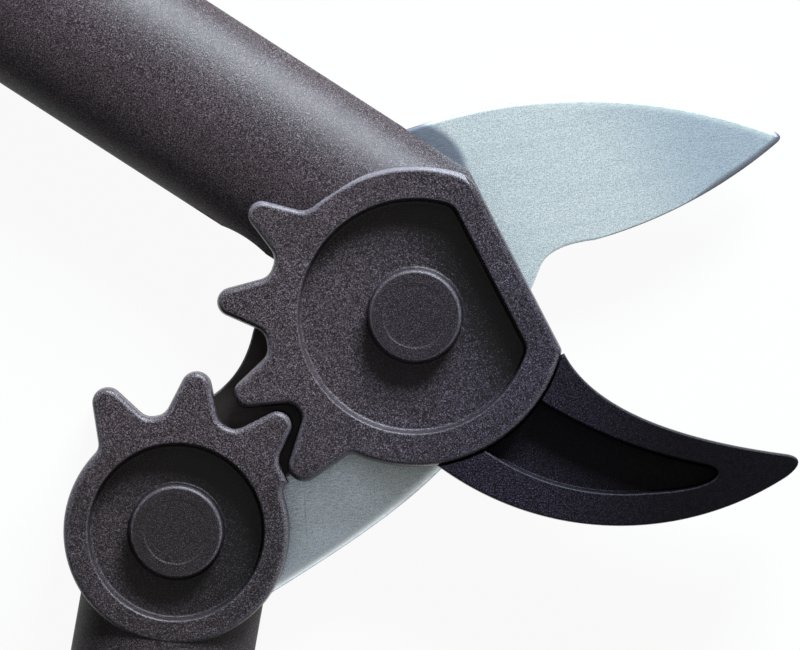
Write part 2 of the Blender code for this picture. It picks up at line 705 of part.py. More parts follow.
def upper_slot_outline():
    """Room between the plates for the blade: its shoulder, its hub and the sweep of its neck."""
    past = UPPER_TIP_RADIUS + 20 * MM
    hub = HUB_RADIUS + SLOT_CLEARANCE
    shoulder = SHOULDER_REACH + SLOT_CLEARANCE
    neck = math.asin(TAIL_SLOT_SIDE / TAIL_SLOT_RADIUS)
    points = [(-past, past), (-past, -past), (shoulder, -past)]
    points += arc_about(hub, -math.acos(shoulder / hub), -math.asin(TAIL_SLOT_SIDE / hub))
    points += arc_about(TAIL_SLOT_RADIUS, -neck, math.radians(60))
    points.append((0, past))
    return [turned(p, UPPER_HANDLE_ANGLE) for p in points]


def closed_tip_relief():
    """Circle that clears the tip of the lower gear's leading tooth where it comes to rest, jaws closed."""
    pivot = polar(PIVOT_SPACING, TAIL_ANGLE - CLOSING_ANGLE)
    turn = CLOSING_ANGLE * (1 + UPPER_TEETH / LOWER_TEETH)
    tip = polar(LOWER_TIP_RADIUS - LOWER_TIP_ROUND, math.radians(LOWER_TOOTH_ANGLES[0]) - turn, pivot)
    back = RELIEF_RADIUS - LOWER_TIP_ROUND - RUNNING_GAP
    return circle(RELIEF_RADIUS, polar(back, UPPER_HANDLE_ANGLE + math.pi / 2, tip), 96)


def upper_lever(mats, parent):
    path = TubePath(UPPER_HANDLE_ANGLE, UPPER_HANDLE_OFFSET, UPPER_HANDLE_LENGTH, outward=1)
    lever = prism("upper_handle", upper_gear_outline(), 0.0, HEAD_THICKNESS, mats["nylon"], parent)
    shank = tube_solid("upper_tube", path, -UPPER_TUBE_OVERLAP, None, parent)
    spill = 6.0 * MM
    beyond = 90.0 * MM
    flat_tool_outline = [turned(p, HEAD_FLAT_ANGLE) for p in (
        (HEAD_FLAT, -beyond), (HEAD_FLAT + beyond, -beyond),
        (HEAD_FLAT + beyond, beyond), (HEAD_FLAT, beyond))]
    cut(shank, prism("upper_flat_tool", flat_tool_outline, -spill, HEAD_THICKNESS + spill),
        prism("closed_tip_relief", closed_tip_relief(), -spill, HEAD_THICKNESS + spill))
    unite(lever, shank)
    cut(lever, tube_hollow("upper_hollow", path))
    slot = prism("upper_slot_tool", upper_slot_outline(), REAR_PLATE, UPPER_PLATE_Z)
    tang_room = TANG_WIDTH / 2 + RUNNING_GAP
    tang_start = HUB_RADIUS - 8.0 * MM
    tang_outline = [turned((s, -UPPER_HANDLE_OFFSET + v), UPPER_HANDLE_ANGLE) for s, v in (
        (tang_start, -tang_room), (TANG_END + RUNNING_GAP, -tang_room),
        (TANG_END + RUNNING_GAP, tang_room), (tang_start, tang_room))]
    tang_slot = prism("upper_tang_slot", tang_outline, HOOK_Z - RUNNING_GAP, UPPER_PLATE_Z - 0.05 * MM)
    cut(lever, slot, tang_slot)
    outline = d_outline(UPPER_POCKET_RADIUS, UPPER_POCKET_FLAT, HEAD_FLAT_ANGLE, UPPER_POCKET_CORNER)
    foot = d_outline(UPPER_POCKET_RADIUS - POCKET_DRAFT, UPPER_POCKET_FLAT - POCKET_DRAFT,
                     HEAD_FLAT_ANGLE, UPPER_POCKET_CORNER)
    pocket_pair(lever, outline, foot)
    pivot_bores(lever, UPPER_PLATE_Z)
    rear_crest = MID_Z - TUBE_THICKNESS / 2
    for i, s in enumerate(TANG_SCREW_PLACES):
        centre = path.centre(s)
        head_z = rear_crest + SCREW_SINK + SCREW_HEAD_HEIGHT + RUNNING_GAP
        cut(lever,
            prism(f"tang_screw_bore_{i}", circle(SCREW_RADIUS + RUNNING_GAP, centre, 16),
                  head_z - 1.0 * MM, UPPER_PLATE_Z + SCREW_GRIP + 0.5 * MM),
            prism(f"tang_screw_well_{i}", circle(SCREW_HEAD_RADIUS + RUNNING_GAP, centre, 24),
                  -spill, head_z))
    pivot_fasteners("main_pivot", UPPER_PLATE_Z, parent, mats["bolt_steel"], mats["sleeve_brass"])
    disc_ring("main_wear_disc", UPPER_WEAR_DISC_RADIUS, SLEEVE_RADIUS + RUNNING_GAP,
              WEAR_Z, WEAR_Z + WEAR_DISC, mats["acetal"], parent)
    hook(mats, parent, path)
    tang_screws(mats, parent, path, rear_crest)
    grip("upper_grip", path, mats["grip_rubber"], parent)
    end_cap("upper_end_cap", path, mats["cap_plastic"], parent)


def hook_outline():
    """Jaw beyond the gear plate: throat curve, rounded tip, back arc, and the plate's arc."""
    seat = UPPER_ROOT_RADIUS + RUNNING_GAP
    down_flat = (math.sin(HEAD_FLAT_ANGLE), -math.cos(HEAD_FLAT_ANGLE))
    to_tip = (0.991, -0.132)
    throat = sweep_curve(HOOK_HEEL, along(HOOK_HEEL, down_flat, 10 * MM),
                         along(HOOK_TIP, to_tip, -38 * MM), HOOK_TIP, 16)
    back_angle = math.atan2(HOOK_TIP[1] - HOOK_TIP_ROUND * 2 - HOOK_BACK_CENTRE[1],
                            HOOK_TIP[0] - HOOK_BACK_CENTRE[0])
    back_start = polar(HOOK_BACK_RADIUS, back_angle, HOOK_BACK_CENTRE)
    nose = along(HOOK_TIP, to_tip, HOOK_TIP_ROUND * 2)
    tip = sweep_curve(HOOK_TIP, nose, along(nose, (-0.3, -1.0), HOOK_TIP_ROUND), back_start, 7)
    meet = polar(seat, HOOK_SEAT_LOW)
    back_end = math.atan2(meet[1] - HOOK_BACK_CENTRE[1], meet[0] - HOOK_BACK_CENTRE[0])
    back = arc(HOOK_BACK_RADIUS, back_angle, back_end, 20, HOOK_BACK_CENTRE)[:-1]
    heel_angle = math.atan2(HOOK_HEEL[1], HOOK_HEEL[0])
    rest = arc_about(seat, HOOK_SEAT_LOW, heel_angle)
    return tidy(throat + tip[1:] + back[1:] + rest)


def hook_pocket_outline():
    """Crescent between the jaw's two rims, open towards the gear plate."""
    end = HOOK_POCKET_END
    under = along(end, (0.2, -1.0), HOOK_TIP_ROUND * 1.3)
    low_angle = math.atan2(under[1] - HOOK_POCKET_CENTRE[1], under[0] - HOOK_POCKET_CENTRE[0])
    low_start = polar(HOOK_POCKET_RADIUS, low_angle, HOOK_POCKET_CENTRE)
    upper_edge = bend(HOOK_POCKET_START, HOOK_POCKET_BEND, end, 12)
    turn = sweep_curve(end, along(end, (0.98, -0.2), 2.4 * MM), along(low_start, (0.9, 0.43), 1.6 * MM),
                       low_start, 6)
    low_end = math.radians(237.5) - math.tau
    lower_edge = arc(HOOK_POCKET_RADIUS, low_angle, low_end, 14, HOOK_POCKET_CENTRE)
    return tidy(upper_edge + turn[1:] + lower_edge[1:])


def hook(mats, parent, path):
    jaw = prism("hook", hook_outline(), HOOK_Z, HOOK_FRONT, mats["hook_cast"], parent)
    root_flat = HEAD_FLAT - 1.0 * MM
    root = prism("hook_root", d_outline(HOOK_ROOT_RADIUS, root_flat, HEAD_FLAT_ANGLE, 3.0 * MM),
                 HOOK_Z, HOOK_Z + HOOK_ROOT_THICKNESS)
    reach = HOOK_ROOT_RADIUS - 6.0 * MM
    inner_arc = arc_about(reach, *HOOK_BRIDGE)
    outer_arc = arc_about(UPPER_ROOT_RADIUS + HOOK_BRIDGE_LAP, *HOOK_BRIDGE)
    bridge = prism("hook_bridge", tidy(outer_arc + inner_arc[::-1]), HOOK_Z, HOOK_Z + HOOK_ROOT_THICKNESS)
    half = TANG_WIDTH / 2
    tang_outline = [turned((s, -UPPER_HANDLE_OFFSET + v), UPPER_HANDLE_ANGLE)
                    for s, v in ((10 * MM, -half), (TANG_END, -half), (TANG_END, half), (10 * MM, half))]
    tang = prism("hook_tang", tang_outline, HOOK_Z, HOOK_Z + HOOK_ROOT_THICKNESS)
    unite(jaw, bridge, root, tang)
    cut(jaw, prism("hook_pocket", hook_pocket_outline(),
                   HOOK_FRONT - HOOK_POCKET_DEPTH, HOOK_FRONT + 5 * MM))
    cut(jaw, prism("hook_bore", circle(SLEEVE_RADIUS + RUNNING_GAP, steps=32),
                   HOOK_Z - 2 * MM, HOOK_Z + HOOK_ROOT_THICKNESS + 2 * MM))
    for i, s in enumerate(TANG_SCREW_PLACES):
        cut(jaw, prism(f"hook_tang_bore_{i}", circle(SCREW_RADIUS + RUNNING_GAP, path.centre(s), 16),
                       HOOK_Z - 2 * MM, HOOK_Z + HOOK_ROOT_THICKNESS + 2 * MM))


def tang_screws(mats, parent, path, rear_crest):
    """Two screws from the rear that lock the hook's tang in the handle."""
    for name, s in zip(("tang_screw_near", "tang_screw_far"), TANG_SCREW_PLACES):
        centre = path.centre(s)
        low = rear_crest + SCREW_SINK
        high = low + SCREW_HEAD_HEIGHT
        head = lofted(name, [at_height(circle(SCREW_HEAD_RADIUS * 0.8, centre, 24), low),
                             at_height(circle(SCREW_HEAD_RADIUS, centre, 24), low + 0.9 * MM),
                             at_height(circle(SCREW_HEAD_RADIUS, centre, 24), high)],
                      mats["bolt_steel"], parent)
        shank = prism(name + "_shank", circle(SCREW_RADIUS, centre, 16), high - 1.0 * MM,
                      UPPER_PLATE_Z + SCREW_GRIP)
        unite(head, shank)
        cut(head, prism(name + "_socket", hexagon(SCREW_SOCKET, centre), low - 1.0 * MM,
                        low + SCREW_SOCKET_DEPTH))


# Blade

def blade_outline():
    """Anticlockwise outline and, for each point, the share of the full bevel it carries."""
    tip_low = along(BLADE_TIP, (-0.63, -0.78), BLADE_TIP_ROUND)
    edge = arc_between(EDGE_HEEL, tip_low, EDGE_RADIUS, 16)
    spine_centre, spine_radius = three_point_circle(*SPINE_POINTS)
    tip_angle = math.acos((BLADE_TIP[0] - 0.9 * BLADE_TIP_ROUND - spine_centre[0]) / spine_radius)
    spine_end_angle = math.acos((SPINE_END - spine_centre[0]) / spine_radius)
    spine = arc(spine_radius, tip_angle, spine_end_angle, 14, spine_centre)
    tip = sweep_curve(tip_low, along(tip_low, unit(edge[-2], edge[-1]), 1.7 * MM),
                      along(spine[0], unit(spine[1], spine[0]), 2.4 * MM), spine[0], 6)
    def beside_handle(side):
        return turned((SHOULDER_REACH, -side), UPPER_HANDLE_ANGLE)

    shoulder = sweep_curve(spine[-1], along(spine[-1], unit(spine[-2], spine[-1]), 4.5 * MM),
                           beside_handle(37 * MM), beside_handle(33 * MM), 6)
    shoulder += bend(beside_handle(24.5 * MM), beside_handle(20.5 * MM), polar(HUB_RADIUS, SHOULDER_FOOT), 3)
    hub = arc_about(HUB_RADIUS, SHOULDER_FOOT, HUB_LEAVE)
    tail = (TAIL_PIVOT.x, TAIL_PIVOT.y)

    def onward(point, angle, distance):
        """Along the anticlockwise tangent of a circle at that angle."""
        return along(point, (-math.sin(angle), math.cos(angle)), distance)

    entry, leave = polar(TAIL_RADIUS, TAIL_ENTRY, tail), polar(TAIL_RADIUS, TAIL_LEAVE, tail)
    down_neck, down_bend = (-0.22, -0.975), (-0.80, -0.60)
    neck = sweep_curve(hub[-1], onward(hub[-1], HUB_LEAVE, 7 * MM),
                       along(NECK_TOP, down_neck, -4 * MM), NECK_TOP, 6)
    neck += sweep_curve(NECK_TOP, along(NECK_TOP, down_neck, 7.5 * MM),
                        along(NECK_BEND, down_bend, -5 * MM), NECK_BEND, 7)
    neck += sweep_curve(NECK_BEND, along(NECK_BEND, down_bend, 7 * MM),
                        onward(entry, TAIL_ENTRY, -7 * MM), entry, 6)
    end_arc = arc_about(TAIL_RADIUS, TAIL_ENTRY, TAIL_LEAVE, centre=tail)
    belly = sweep_curve(leave, onward(leave, TAIL_LEAVE, 42 * MM),
                        along(THROAT_BASE, (-0.10, -1.0), 36 * MM), THROAT_BASE, 18)
    throat = [THROAT_BASE] + bend(THROAT_TOP, THROAT_CORNER, EDGE_HEEL, 6)
    outline, bevel = [], []

    def add(points, shares=None):
        for i, p in enumerate(points):
            if outline and math.dist(outline[-1], p) < 0.05 * MM:
                continue
            outline.append(p)
            bevel.append(shares(i / (len(points) - 1)) if shares else 0.0)

    add(throat[1:])
    add(edge, lambda t: smooth_step(t / 0.25) * (1 - 0.45 * t))
    add(tip[1:], lambda t: 0.55 * (1 - smooth_step(t)))
    for stretch in (spine, shoulder, hub, neck, end_arc, belly[:-1]):
        add(stretch)
    return outline, bevel


def blade(mats, parent):
    """Plate ground from the rear along its cutting edge; its front stays flat against the hook."""
    outline, shares = blade_outline()
    count = len(outline)
    inward = []
    for i in range(count):
        run = unit(outline[i - 1], outline[(i + 1) % count])
        inward.append((-run[1], run[0]))
    rear = [along(p, n, BEVEL_WIDTH * share) for p, n, share in zip(outline, inward, shares)]
    land = [BLADE_THICKNESS - EDGE_LAND if share > 0 else BLADE_THICKNESS * 0.5 for share in shares]
    rings = [at_height(rear, BLADE_Z),
             [(x, y, BLADE_Z + z) for (x, y), z in zip(outline, land)],
             at_height(outline, BLADE_Z + BLADE_THICKNESS)]
    plate = lofted("blade", rings, mats["blade_steel"], parent)
    bore = SLEEVE_RADIUS + RUNNING_GAP
    for name, centre in (("blade_main_bore", (0, 0)), ("blade_tail_bore", tuple(TAIL_PIVOT))):
        cut(plate, prism(name, circle(bore, centre, 32),
                         BLADE_Z - 2 * MM, BLADE_Z + BLADE_THICKNESS + 2 * MM))


# Lower lever, modelled about its own pivot

def lower_lever(mats, parent):
    path = TubePath(LOWER_HANDLE_ANGLE, LOWER_HANDLE_OFFSET, LOWER_HANDLE_LENGTH, outward=-1)
    lever = prism("lower_handle", lower_gear_outline(), 0.0, HEAD_THICKNESS, mats["nylon"], parent)
    unite(lever, tube_solid("lower_tube", path, 0.0, None, parent))
    cut(lever, tube_hollow("lower_hollow", path))
    round_part = circle(LOWER_SLOT_RADIUS, steps=64)
    slot = prism("lower_slot_tool", round_part, REAR_PLATE, LOWER_PLATE_Z)
    wide = LOWER_TIP_RADIUS + 20 * MM
    open_outline = [turned(p, LOWER_HANDLE_ANGLE)
                    for p in ((-wide, -wide), (0, -wide), (0, wide), (-wide, wide))]
    open_side = prism("lower_slot_open_side", open_outline, REAR_PLATE, LOWER_PLATE_Z)
    cut(lever, slot, open_side)
    outline = circle(LOWER_POCKET_RADIUS, steps=56)
    foot = circle(LOWER_POCKET_RADIUS - POCKET_DRAFT, steps=56)
    pocket_pair(lever, outline, foot)
    pivot_bores(lever, LOWER_PLATE_Z)
    pivot_fasteners("tail_pivot", LOWER_PLATE_Z, parent, mats["bolt_steel"], mats["sleeve_brass"])
    for name, low in (("tail_rear_wear_disc", WEAR_Z), ("tail_front_wear_disc", HOOK_Z)):
        disc_ring(name, LOWER_WEAR_DISC_RADIUS, SLEEVE_RADIUS + RUNNING_GAP, low, low + WEAR_DISC,
                  mats["acetal"], parent)
    grip("lower_grip", path, mats["grip_rubber"], parent)
    end_cap("lower_end_cap", path, mats["cap_plastic"], parent)


def build():
    for old in list(bpy.data.objects):
        bpy.data.objects.remove(old)
    mats = {
        "nylon": material("glass_filled_nylon", (0.045, 0.042, 0.048), 0.48),
        "hook_cast": material("hook_black_coating", (0.030, 0.029, 0.036), 0.45),
        "blade_steel": material("blade_steel", (0.55, 0.60, 0.62), 0.32, 1.0),
        "bolt_steel": material("zinc_plated_steel", (0.60, 0.60, 0.58), 0.35, 1.0),
        "sleeve_brass": material("sintered_bronze", (0.45, 0.29, 0.11), 0.40, 1.0),
        "acetal": material("acetal_wear_disc", (0.70, 0.69, 0.65), 0.40),
        "grip_rubber": material("grip_rubber", (0.035, 0.035, 0.038), 0.75),
        "cap_plastic": material("cap_plastic", (0.040, 0.040, 0.044), 0.50),
    }
    upper_frame = empty("upper_lever_frame", (0, 0, 0))
    blade_frame = empty("blade_frame", (0, 0, 0), upper_frame)
    lower_frame = empty("lower_lever_frame", (TAIL_PIVOT.x, TAIL_PIVOT.y, 0), blade_frame)
    upper_lever(mats, upper_frame)
    blade(mats, blade_frame)
    lower_lever(mats, lower_frame)
    settle(list(bpy.data.objects))


build()
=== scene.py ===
import functools
import math

import bmesh
import bpy
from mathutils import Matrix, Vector


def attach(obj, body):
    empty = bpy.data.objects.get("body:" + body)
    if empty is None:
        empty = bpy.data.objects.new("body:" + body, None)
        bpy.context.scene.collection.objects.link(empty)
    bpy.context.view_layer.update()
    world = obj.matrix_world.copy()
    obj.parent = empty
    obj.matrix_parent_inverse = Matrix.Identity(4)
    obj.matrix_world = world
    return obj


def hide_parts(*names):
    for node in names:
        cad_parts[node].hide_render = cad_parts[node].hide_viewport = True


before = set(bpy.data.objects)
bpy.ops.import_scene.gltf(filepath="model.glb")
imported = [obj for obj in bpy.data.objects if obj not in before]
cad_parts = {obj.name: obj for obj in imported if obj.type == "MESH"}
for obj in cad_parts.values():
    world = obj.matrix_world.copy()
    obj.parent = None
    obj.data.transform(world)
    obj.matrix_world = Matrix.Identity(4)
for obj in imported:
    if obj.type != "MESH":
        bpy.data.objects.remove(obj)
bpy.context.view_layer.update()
mm = 0.001    # every size below is in millimetres
print("frame loaded")

# Sizes that several pieces share

head = {
    "thickness": 32.0,
    "rearPlate": 11.4,          # the rear plates fill 0 to this height
    "upperPlateLow": 22.0,      # the front plates start here
    "lowerPlateLow": 18.6,
    "pivotSpacing": 77.0,
    "tailAngle": 222.1,
    "closingAngle": 47.0,       # the blade's turn from open to closed
    "gearRatio": 1.2,
    "sleeveBore": 7.3,          # hole round a pivot's sleeve
    "flat": 27.5,               # main pivot to the flat beside the jaws
    "flatAngle": 27.4,
    "cornerRuns": (0.6, 3.4),   # how far the flat's lower and upper corners are rounded
    "upperRoot": 36.1,
    "upperPocket": 28.0,
    "lowerPocket": 21.1,
    "hookLow": 17.5,
    "hookFront": 31.0,
    "gap": 0.3,
}
teeth = {
    "taper": 0.35,              # half width gained for each mm below the tip
    "rootFillet": 2.3,
    "lastFillet": 1.6,
    "upperAngles": [146.5, 175.6, 204.9, 233.3],
    "upperTip": 47.5,
    "upperRound": 3.5,
    "lastExtra": 0.9,
    "lowerAngles": [46.4, 82.2, 118.1],
    "lowerTip": 38.7,
    "lowerRoot": 28.2,
    "lowerRound": 3.7,
    "lowerRing": 27.1,
    "ringStart": -80.0,         # the plain ring is drawn from here
    "shoulder": 29.4,
    "shoulderEnd": 23.5,
    "shoulderRun": 7.0,
}
fineness = {"circle": 240, "bend": 10, "tip": 14, "tube": 96, "shank": 34, "bore": 64}
flatAngle = math.radians(head["flatAngle"])


# Plane curves

def polar(radius, angle, centre=(0, 0)):
    return (centre[0] + radius * math.cos(angle), centre[1] + radius * math.sin(angle))


tailPivot = polar(head["pivotSpacing"], math.radians(head["tailAngle"]))


def arc(radius, start, end, steps, centre=(0, 0)):
    return [polar(radius, start + (end - start) * i / steps, centre) for i in range(steps + 1)]


def arcAbout(radius, start, end, centre=(0, 0)):
    steps = max(1, math.ceil(abs(end - start) / math.tau * fineness["circle"]))
    return arc(radius, start, end, steps, centre)


def circle(radius, centre=(0, 0), steps=160):
    return [polar(radius, math.tau * i / steps, centre) for i in range(steps)]


def curve(steps, *handles):    # from the first point to the last, drawn towards those between
    degree = len(handles) - 1
    points = []
    for i in range(steps + 1):
        t = i / steps
        weights = [math.comb(degree, k) * t ** k * (1 - t) ** (degree - k) for k in range(degree + 1)]
        points.append(tuple(sum(w * p[axis] for w, p in zip(weights, handles)) for axis in (0, 1)))
    return points


def along(point, direction, distance):
    return (point[0] + direction[0] * distance, point[1] + direction[1] * distance)


def unit(start, end):
    length = math.dist(start, end) or 1.0
    return ((end[0] - start[0]) / length, (end[1] - start[1]) / length)


def turned(point, angle):
    c, s = math.cos(angle), math.sin(angle)
    return (point[0] * c - point[1] * s, point[0] * s + point[1] * c)


def moved(outline, centre):
    return [(x + centre[0], y + centre[1]) for x, y in outline]


def angleOf(point):
    return math.atan2(point[1], point[0]) % math.tau


def smoothStep(t):
    t = min(max(t, 0.0), 1.0)
    return t * t * (3 - 2 * t)


def tidied(points, closest=0.03):    # without the points that nearly fall on the one before
    kept = []
    for p in points:
        if not kept or math.dist(p, kept[-1]) > closest:
            kept.append(p)
    if math.dist(kept[0], kept[-1]) <= closest:
        kept.pop()
    return kept


def anticlockwise(points):
    points = tidied(points)
    area = sum(a[0] * b[1] - b[0] * a[1] for a, b in zip(points, points[1:] + points[:1]))
    return points if area > 0 else points[::-1]


def circleThrough(a, b, c):
    d = 2 * (a[0] * (b[1] - c[1]) + b[0] * (c[1] - a[1]) + c[0] * (a[1] - b[1]))
    squares = [p[0] ** 2 + p[1] ** 2 for p in (a, b, c)]
    x = (squares[0] * (b[1] - c[1]) + squares[1] * (c[1] - a[1]) + squares[2] * (a[1] - b[1])) / d
    y = (squares[0] * (c[0] - b[0]) + squares[1] * (a[0] - c[0]) + squares[2] * (b[0] - a[0])) / d
    return (x, y), math.dist((x, y), a)


def arcBetween(start, end, radius, steps):    # bulges to the right of the chord
    middle = ((start[0] + end[0]) / 2, (start[1] + end[1]) / 2)
    run = unit(start, end)
    reach = math.sqrt(max(radius ** 2 - (math.dist(start, end) / 2) ** 2, 0))
    centre = (middle[0] - run[1] * reach, middle[1] + run[0] * reach)
    a = math.atan2(start[1] - centre[1], start[0] - centre[0])
    b = math.atan2(end[1] - centre[1], end[0] - centre[0])
    return arc(radius, a, a + (b - a) % math.tau, steps, centre)


def crossing(a, b, c, d):    # where line ab meets line cd
    u, v = unit(a, b), unit(c, d)
    cross = u[0] * v[1] - u[1] * v[0]
    if abs(cross) < 1e-3:
        return ((b[0] + c[0]) / 2, (b[1] + c[1]) / 2)
    t = ((c[0] - a[0]) * v[1] - (c[1] - a[1]) * v[0]) / cross
    return along(a, u, t)


def shiftedCorners(outline, runs, far):    # where the two edges at each point meet once they have moved in
    corners = []
    for i, p in enumerate(outline):
        (a, b), (c, d) = runs[i - 1], runs[i]
        before, after = far[i - 1], far[i]
        cross = a * d - b * c
        if abs(cross) < 0.2 or before == after:
            scale = (before + after) / 2 / max(1 + a * c + b * d, 0.4)
            corners.append((p[0] - (b + d) * scale, p[1] + (a + c) * scale))
        else:
            x, y = (before * c - after * a) / cross, (before * d - after * b) / cross
            corners.append((p[0] + x, p[1] + y))
    return corners


def inset(outline, distance):
    # an anticlockwise outline moved inwards, by one distance or by one for the edge that leaves each point;
    # stretches that turn inside out shrink to the point where their neighbours meet
    count = len(outline)
    far = distance if isinstance(distance, list) else [distance] * count
    runs = [unit(outline[i], outline[(i + 1) % count]) for i in range(count)]
    first = shiftedCorners(outline, runs, far)
    kept, dead = list(first), [False] * count
    for attempt in range(20):
        found = False
        for i, (x, y) in enumerate(runs):
            j = (i + 1) % count
            step = (kept[j][0] - kept[i][0]) * x + (kept[j][1] - kept[i][1]) * y
            if not dead[i] and step < 0:
                dead[i] = found = True
        if not found:
            break
        for i in range(count):
            if dead[i] and not dead[i - 1]:
                last = i
                while dead[(last + 1) % count]:
                    last += 1
                beyond = (last + 1) % count
                corner = crossing(first[i - 1], first[i], first[beyond], first[(beyond + 1) % count])
                for k in range(i, last + 2):
                    kept[k % count] = corner
    return kept


# Gear outlines

def rootPoint(tip, root, tipRound):    # where a straight flank meets the root circle
    taper = teeth["taper"]
    reach = tipRound * (math.sqrt(1 + taper ** 2) - taper) + taper * tip
    a, b = 1 + taper ** 2, reach * taper
    u = (b + math.sqrt(b * b - a * (reach ** 2 - root ** 2))) / a
    return u, reach - taper * u


def halfTooth(tip, root, tipRound, fillet):
    u, v = rootPoint(tip, root, tipRound)
    onRoot = polar(root, math.atan2(v, u) + fillet / root)
    slant = math.atan(teeth["taper"])
    upFlank = (u + math.cos(slant) * fillet, v - math.sin(slant) * fillet)
    crown = arc(tipRound, math.pi / 2 - slant, 0, fineness["tip"], (tip - tipRound, 0))
    return curve(fineness["bend"], onRoot, (u, v), upFlank) + crown


def rootArc(start, end, radius):
    a = angleOf(start)
    turn = (angleOf(end) - a) % math.tau
    return [] if turn > math.pi else arcAbout(radius, a, a + turn)[1:-1]


def gearTeeth(rows, root, firstRoot, lastRoot):    # rows hold angle, tip radius, tip round
    fillets = [teeth["rootFillet"]]
    for one, two in zip(rows, rows[1:]):
        feet = sum(math.atan2(*rootPoint(r[1], root, r[2])[::-1]) for r in (one, two))
        fillets.append(min(teeth["rootFillet"], 0.48 * (two[0] - one[0] - feet) * root))
    fillets.append(teeth["lastFillet"])
    roots = [firstRoot] + [root] * (len(rows) - 1) + [lastRoot]
    points = []
    for i, (angle, tip, tipRound) in enumerate(rows):
        before = [(x, -y) for x, y in halfTooth(tip, roots[i], tipRound, fillets[i])]
        after = halfTooth(tip, roots[i + 1], tipRound, fillets[i + 1])
        made = [turned(p, angle) for p in before + after[::-1]]
        if points:
            points += rootArc(points[-1], made[0], root)
        points += made
    return points


def upperGearOutline():
    rows = [(math.radians(a), teeth["upperTip"], teeth["upperRound"]) for a in teeth["upperAngles"]]
    extra = teeth["lastExtra"]
    rows[-1] = (rows[-1][0], teeth["upperTip"] + extra, teeth["upperRound"] + extra / 2)
    root = head["upperRoot"]
    points = gearTeeth(rows, root, root, root)
    half = math.acos(head["flat"] / root)
    low, high = flatAngle - half, flatAngle + half
    lowRun, highRun = head["cornerRuns"]
    lowCorner, highCorner = polar(root, low), polar(root, high)
    beforeLow, afterHigh = polar(root, low - lowRun / root), polar(root, high + highRun / root)
    side = unit(lowCorner, highCorner)
    points += rootArc(points[-1], beforeLow, root)
    points += curve(8, beforeLow, lowCorner, along(lowCorner, side, lowRun))
    points += curve(12, along(highCorner, side, -highRun), highCorner, afterHigh)
    points += rootArc(afterHigh, points[0], root)
    return tidied(points)


def lowerGearOutline():
    end, ring, shoulder = math.radians(teeth["shoulderEnd"]), teeth["lowerRing"], teeth["shoulder"]
    points = arcAbout(ring, math.radians(teeth["ringStart"]), end - math.radians(teeth["shoulderRun"]))
    points += curve(10, points[-1], polar(ring, end), polar(shoulder, end))
    rows = [(math.radians(a), teeth["lowerTip"], teeth["lowerRound"]) for a in teeth["lowerAngles"]]
    made = gearTeeth(rows, teeth["lowerRoot"], shoulder, ring)
    points += rootArc(points[-1], made[0], shoulder) + made
    points += rootArc(points[-1], points[0], ring)
    return tidied(points)


def chordedDisc(radius, flat, run):    # disc cut off at the head's flat, its corners rounded
    half = math.acos(flat / radius)
    ends = [flatAngle - half, flatAngle + half]
    corners = [polar(radius, a) for a in ends]
    side = unit(*corners)
    points = arcAbout(radius, ends[1] + run / radius, ends[0] + math.tau - run / radius)
    points += curve(14, points[-1], corners[0], along(corners[0], side, run))
    points += curve(14, along(corners[1], side, -run), corners[1], points[0])
    return tidied(points)


# Meshes

class Shell:    # a skin put together from rings
    def __init__(self):
        self.bm = bmesh.new()
        self.wearAndEdgeLight = self.bm.verts.layers.float.new("wearAndEdgeLight")

    def ring(self, points, wearAndEdgeLight=0.0):    # neighbours that fall together share one vertex
        wears = wearAndEdgeLight if isinstance(wearAndEdgeLight, list) else [wearAndEdgeLight] * len(points)
        made = []
        for point, wornAndLit in zip(points, wears):
            if made and (made[-1].co - Vector(point)).length < 1e-4:
                made.append(made[-1])
                continue
            vert = self.bm.verts.new(point)
            vert[self.wearAndEdgeLight] = wornAndLit
            made.append(vert)
        return made

    def level(self, outline, z, wearAndEdgeLight=0.0):    # a ring at one height, or with a height for each point
        heights = z if isinstance(z, list) else [z] * len(outline)
        return self.ring([(x, y, height) for (x, y), height in zip(outline, heights)], wearAndEdgeLight)

    def band(self, one, two):
        for i in range(len(one)):
            j = (i + 1) % len(one)
            corners = []
            for vert in (one[i], one[j], two[j], two[i]):
                if vert not in corners:
                    corners.append(vert)
            if len(corners) > 2 and not self.bm.faces.get(corners):
                self.bm.faces.new(corners)

    def bands(self, rings, closed=False):
        for one, two in zip(rings, rings[1:] + rings[:1] if closed else rings[1:]):
            self.band(one, two)

    def stack(self, outline, profile):    # profile rows: inset, height, wear and painted edge light
        rings = [self.level(inset(outline, far), z, wearAndEdgeLight) for far, z, wearAndEdgeLight in profile]
        self.bands(rings)
        return rings

    def closedStack(self, outline, profile):
        rings = self.stack(outline, profile)
        self.sheet(rings[0])
        self.sheet(rings[-1])

    def sheet(self, *loops):    # flat fill between level loops
        edges = []
        for loop in loops:
            for a, b in zip(loop, loop[1:] + loop[:1]):
                if a is not b:
                    edge = self.bm.edges.get((a, b)) or self.bm.edges.new((a, b))
                    if edge not in edges:
                        edges.append(edge)
        bmesh.ops.triangle_fill(self.bm, edges=edges, use_beauty=True, normal=(0, 0, 1))

    def block(self, rings):    # bands with a sheet at each end
        self.bands(rings)
        self.sheet(rings[0])
        self.sheet(rings[-1])

    def finish(self, name, finishMaterial, sharp=38):
        bmesh.ops.remove_doubles(self.bm, verts=self.bm.verts, dist=1e-4)
        bmesh.ops.recalc_face_normals(self.bm, faces=self.bm.faces)
        bmesh.ops.scale(self.bm, vec=(mm, mm, mm), verts=self.bm.verts)
        mesh = bpy.data.meshes.new(name)
        self.bm.to_mesh(mesh)
        self.bm.free()
        return placed(name, mesh, finishMaterial, sharp)


def linked(name, data):
    made = bpy.data.objects.new(name, data)
    bpy.context.scene.collection.objects.link(made)
    return made


def placed(name, mesh, finishMaterial, sharp=38):
    if finishMaterial:
        mesh.materials.append(finishMaterial)
    mesh.shade_smooth()
    mesh.set_sharp_from_angle(angle=math.radians(sharp))
    return linked(name, mesh)


